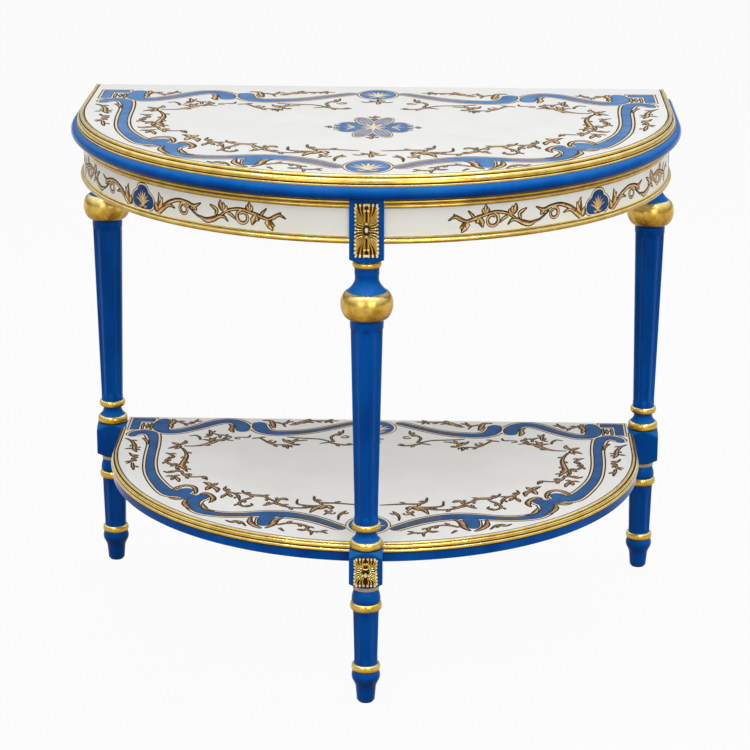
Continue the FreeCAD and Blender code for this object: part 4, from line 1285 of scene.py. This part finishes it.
CARTOUCHE_PLACE = 357
APRON_FOOT = low_z1


def apron_place(side, way):
    """Place a vine point by its distance from the cartouche and its height above the lower bead."""

    def place(distance, height, lift):
        along = CARTOUCHE_PLACE + way * distance
        turn = min(along / RAIL_RADIUS, QUARTER)
        straight = max(along - RAIL_RADIUS * QUARTER, 0)
        reach = RAIL_RADIUS + lift
        x = side * reach * math.sin(turn)
        y = ARC_Y - reach * math.cos(turn) + straight
        return (x, y, APRON_FOOT + height)

    return place


APRON_STROKES = [
    [(32, 1, 9), (45, 11, 8), (57, 20, 6), (74, 26, 5), (90, 25, 5), (102, 22, 5), (115, 28, 1)],
    [(45, 10, 5), (56, 16, 5), (68, 13, 1)],
    [(92, 20, 2), (107, 10, 2.4), (114, 8, 3), (124, 5, 7), (135, 8, 7), (145, 13, 5),
     (153, 13, 4), (159, 7, 1)],
    [(138, 14, 3), (141, 20, 5), (137, 24, 5), (129, 28, 1)],
    [(146, 14, 3), (157, 22, 4), (169, 26, 4), (180, 27, 4), (190, 25, 4), (201, 22, 5),
     (211, 19, 5), (220, 17, 4), (228, 20, 5), (236, 24, 4), (246, 19, 1)],
    [(158, 20, 3), (165, 17, 4), (172, 11, 1)],
    [(226, 20, 4), (239, 28, 1)],
    [(209, 22, 5), (218, 32, 1)],
]
APRON_FRONDS = [
    ((33, 2), [(35, 31), (43, 25), (28, 16)], 8),
    ((151, 21), [(157, 30), (152, 34), (147, 37)], 6),
    ((192, 26), [(196, 34), (192, 39), (188, 34)], 5),
    ((202, 21), [(196, 6), (205, 12)], 7),
    ((218, 16), [(230, 8), (227, 1), (219, 6)], 8),
    ((104, 22), [(107, 15), (100, 16)], 4),
]
APRON_CURLS = [(84, 15, 8, 5, 60, 400), (182, 16, 9.5, 5, 100, 400)]

SHIELD_HALF = [
    (0, 34.5), (6, 33.5), (10.5, 30), (12.5, 25.5), (17, 23), (21.5, 19), (23, 13), (21.5, 7),
    (16.5, 3), (9, 2),
]
shield_outline = SHIELD_HALF + [(0, 1.6)] + [(-x, y) for x, y in reversed(SHIELD_HALF[1:])]
SHIELD = curve_through(shield_outline + shield_outline[:1], 4)[:-1]

for side, side_word in ((-1, "left"), (1, "right")):
    apron = Ground(f"apron_vine_{side_word}", [
        (apron_place(side, 1), side < 0), (apron_place(side, -1), side > 0),
    ])
    paint_vine(apron, APRON_STROKES, APRON_FRONDS, APRON_CURLS)
    apron.finish()
    shield = Ground(f"apron_shield_{side_word}", [(apron_place(side, 1), side < 0)])
    cartouche(shield, SHIELD, (0, 14), 3, "navy")
    palmette(shield, 0, 15, 15.5, paint="gold")
    shield.finish()


# Finishes of the pieces that keep their CAD form
for node, material in (
    ("top_panel", white_lacquer), ("shelf_panel", white_lacquer), ("back_rail", bare_wood),
    ("fixing_blocks", bare_wood), ("shelf_dowels", bare_wood), ("top_screws", zinc_steel),
):
    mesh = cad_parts[node].data
    mesh.materials.clear()
    mesh.materials.append(material)


# Floor, lights and camera

def pale_ground(name, colour, shown):
    """A pale floor that reads as white to the camera and in reflections and still takes shadows."""
    material, tree, shader = new_material(name)
    set_inputs(shader, {"Base_Color": (*colour, 1), "Roughness": 0.9, "Specular_IOR_Level": 0.1})
    glow = add_node(tree, "Emission", Strength=1.0)
    path = add_node(tree, "LightPath")
    seen = path.outputs["Is Camera Ray"]
    for ray in ("Is Glossy Ray", "Is Transmission Ray"):
        either = add_node(tree, "Math", "MAXIMUM")
        join(tree, (seen, either.inputs[0]), (path.outputs[ray], either.inputs[1]))
        seen = either.outputs[0]
    share = add_node(tree, "Math", "MULTIPLY")
    share.inputs[1].default_value = shown
    mix = add_node(tree, "MixShader")
    join(
        tree, (seen, share.inputs[0]), (share.outputs[0], mix.inputs["Fac"]),
        (shader.outputs[0], mix.inputs[1]), (glow.outputs[0], mix.inputs[2]),
        (mix.outputs[0], tree.nodes["Material Output"].inputs["Surface"]),
    )
    return material


FLOOR_REACH, FLOOR_DROP = 40.0, 0.0002
FLOOR_COLOUR, FLOOR_SHOWN = (0.48, 0.48, 0.48), 0.95
AMBIENT = 0.32
floor_mesh = bpy.data.meshes.new("floor")
floor_corners = [
    (x * FLOOR_REACH, y * FLOOR_REACH, -FLOOR_DROP) for x, y in ((-1, -1), (1, -1), (1, 1), (-1, 1))
]
floor_mesh.from_pydata(floor_corners, [], [(0, 1, 2, 3)])
floor_mesh.materials.append(pale_ground("pale_floor", FLOOR_COLOUR, FLOOR_SHOWN))
floor = bpy.data.objects.new("floor", floor_mesh)
bpy.context.scene.collection.objects.link(floor)

# The ambient light is even; gilding mirrors a studio that is dim at the horizon and white overhead
world = bpy.data.worlds.new("studio")
bpy.context.scene.world = world
world.use_nodes = True
studio = world.node_tree
ambient = studio.nodes["Background"]
set_inputs(ambient, {"Color": (0.97, 0.98, 1.0, 1), "Strength": AMBIENT})
sky = add_node(studio, "Background", Color=(1, 1, 1, 1))
direction = add_node(studio, "TexCoord")
split = add_node(studio, "SeparateXYZ")
rise = add_node(studio, "MapRange", From_Min=0.1, From_Max=0.55, To_Min=0.25, To_Max=1.0)
rays = add_node(studio, "LightPath")
either_sky = add_node(studio, "MixShader")
join(
    studio, (direction.outputs["Generated"], split.inputs["Vector"]),
    (split.outputs["Z"], rise.inputs["Value"]), (rise.outputs["Result"], sky.inputs["Strength"]),
    (rays.outputs["Is Glossy Ray"], either_sky.inputs["Fac"]),
    (ambient.outputs[0], either_sky.inputs[1]), (sky.outputs[0], either_sky.inputs[2]),
    (either_sky.outputs[0], studio.nodes["World Output"].inputs["Surface"]),
)


def add_softbox(name, place, target, width, height, power, mirrored=True, spread=True):
    """A soft lamp; one that is not mirrored leaves no highlight, one without spread only glints."""
    data = bpy.data.lights.new(name, "AREA")
    data.shape = "RECTANGLE"
    data.size = width
    data.size_y = height
    data.energy = power
    lamp = bpy.data.objects.new(name, data)
    lamp.location = place
    lamp.visible_glossy = mirrored
    lamp.visible_diffuse = spread
    lamp.rotation_euler = (Vector(target) - Vector(place)).to_track_quat("-Z", "Y").to_euler()
    bpy.context.scene.collection.objects.link(lamp)


TABLE_MIDDLE = (0, 0, 0.5)
add_softbox("key_box", (0, -1.9, 3.1), TABLE_MIDDLE, 3.0, 1.2, 37, False)
add_softbox("top_box", (0.2, 0.4, 3.2), TABLE_MIDDLE, 2.0, 1.4, 12.5)
add_softbox("back_box", (0.3, 2.6, 2.1), TABLE_MIDDLE, 2.0, 0.8, 17, False)
for word, side, power in (("left", -1, 12), ("right", 1, 20)):
    add_softbox(f"{word}_lamp", (side * 1.2, -3.0, 1.5), TABLE_MIDDLE, 1.5, 1.7, power)
    add_softbox(f"{word}_side_box", (side * 2.6, 0.2, 1.5), TABLE_MIDDLE, 0.8, 0.6, power, False)
for number, place_x in enumerate((-1.7, -0.8, 0.1, 0.9, 1.8)):
    add_softbox(
        f"ceiling_lamp_{number}", (place_x, -1.4, 3.3), TABLE_MIDDLE, 0.26, 0.26, 9, spread=False
    )

CAMERA_PLACE = (0.10886, -3.72855, 1.5968)
CAMERA_YAW, CAMERA_PITCH, CAMERA_ROLL = -1.612, -17.713, 0.223
SENSOR_WIDTH, LENS = 36, 126.04
yaw, pitch, roll = (math.radians(angle) for angle in (CAMERA_YAW, CAMERA_PITCH, CAMERA_ROLL))
ahead = Vector((math.sin(yaw) * math.cos(pitch), math.cos(yaw) * math.cos(pitch), math.sin(pitch)))
level_right = ahead.cross(Vector((0, 0, 1))).normalized()
level_up = level_right.cross(ahead)
right = level_right * math.cos(roll) + level_up * math.sin(roll)
up = level_up * math.cos(roll) - level_right * math.sin(roll)
camera_data = bpy.data.cameras.new("camera")
camera_data.sensor_width = SENSOR_WIDTH
camera_data.lens = LENS
camera = bpy.data.objects.new("camera", camera_data)
turn = Matrix((right, up, -ahead)).transposed()
camera.matrix_world = Matrix.Translation(CAMERA_PLACE) @ turn.to_4x4()
bpy.context.scene.collection.objects.link(camera)
bpy.context.scene.camera = camera
bpy.context.scene.view_settings.view_transform = "Standard"
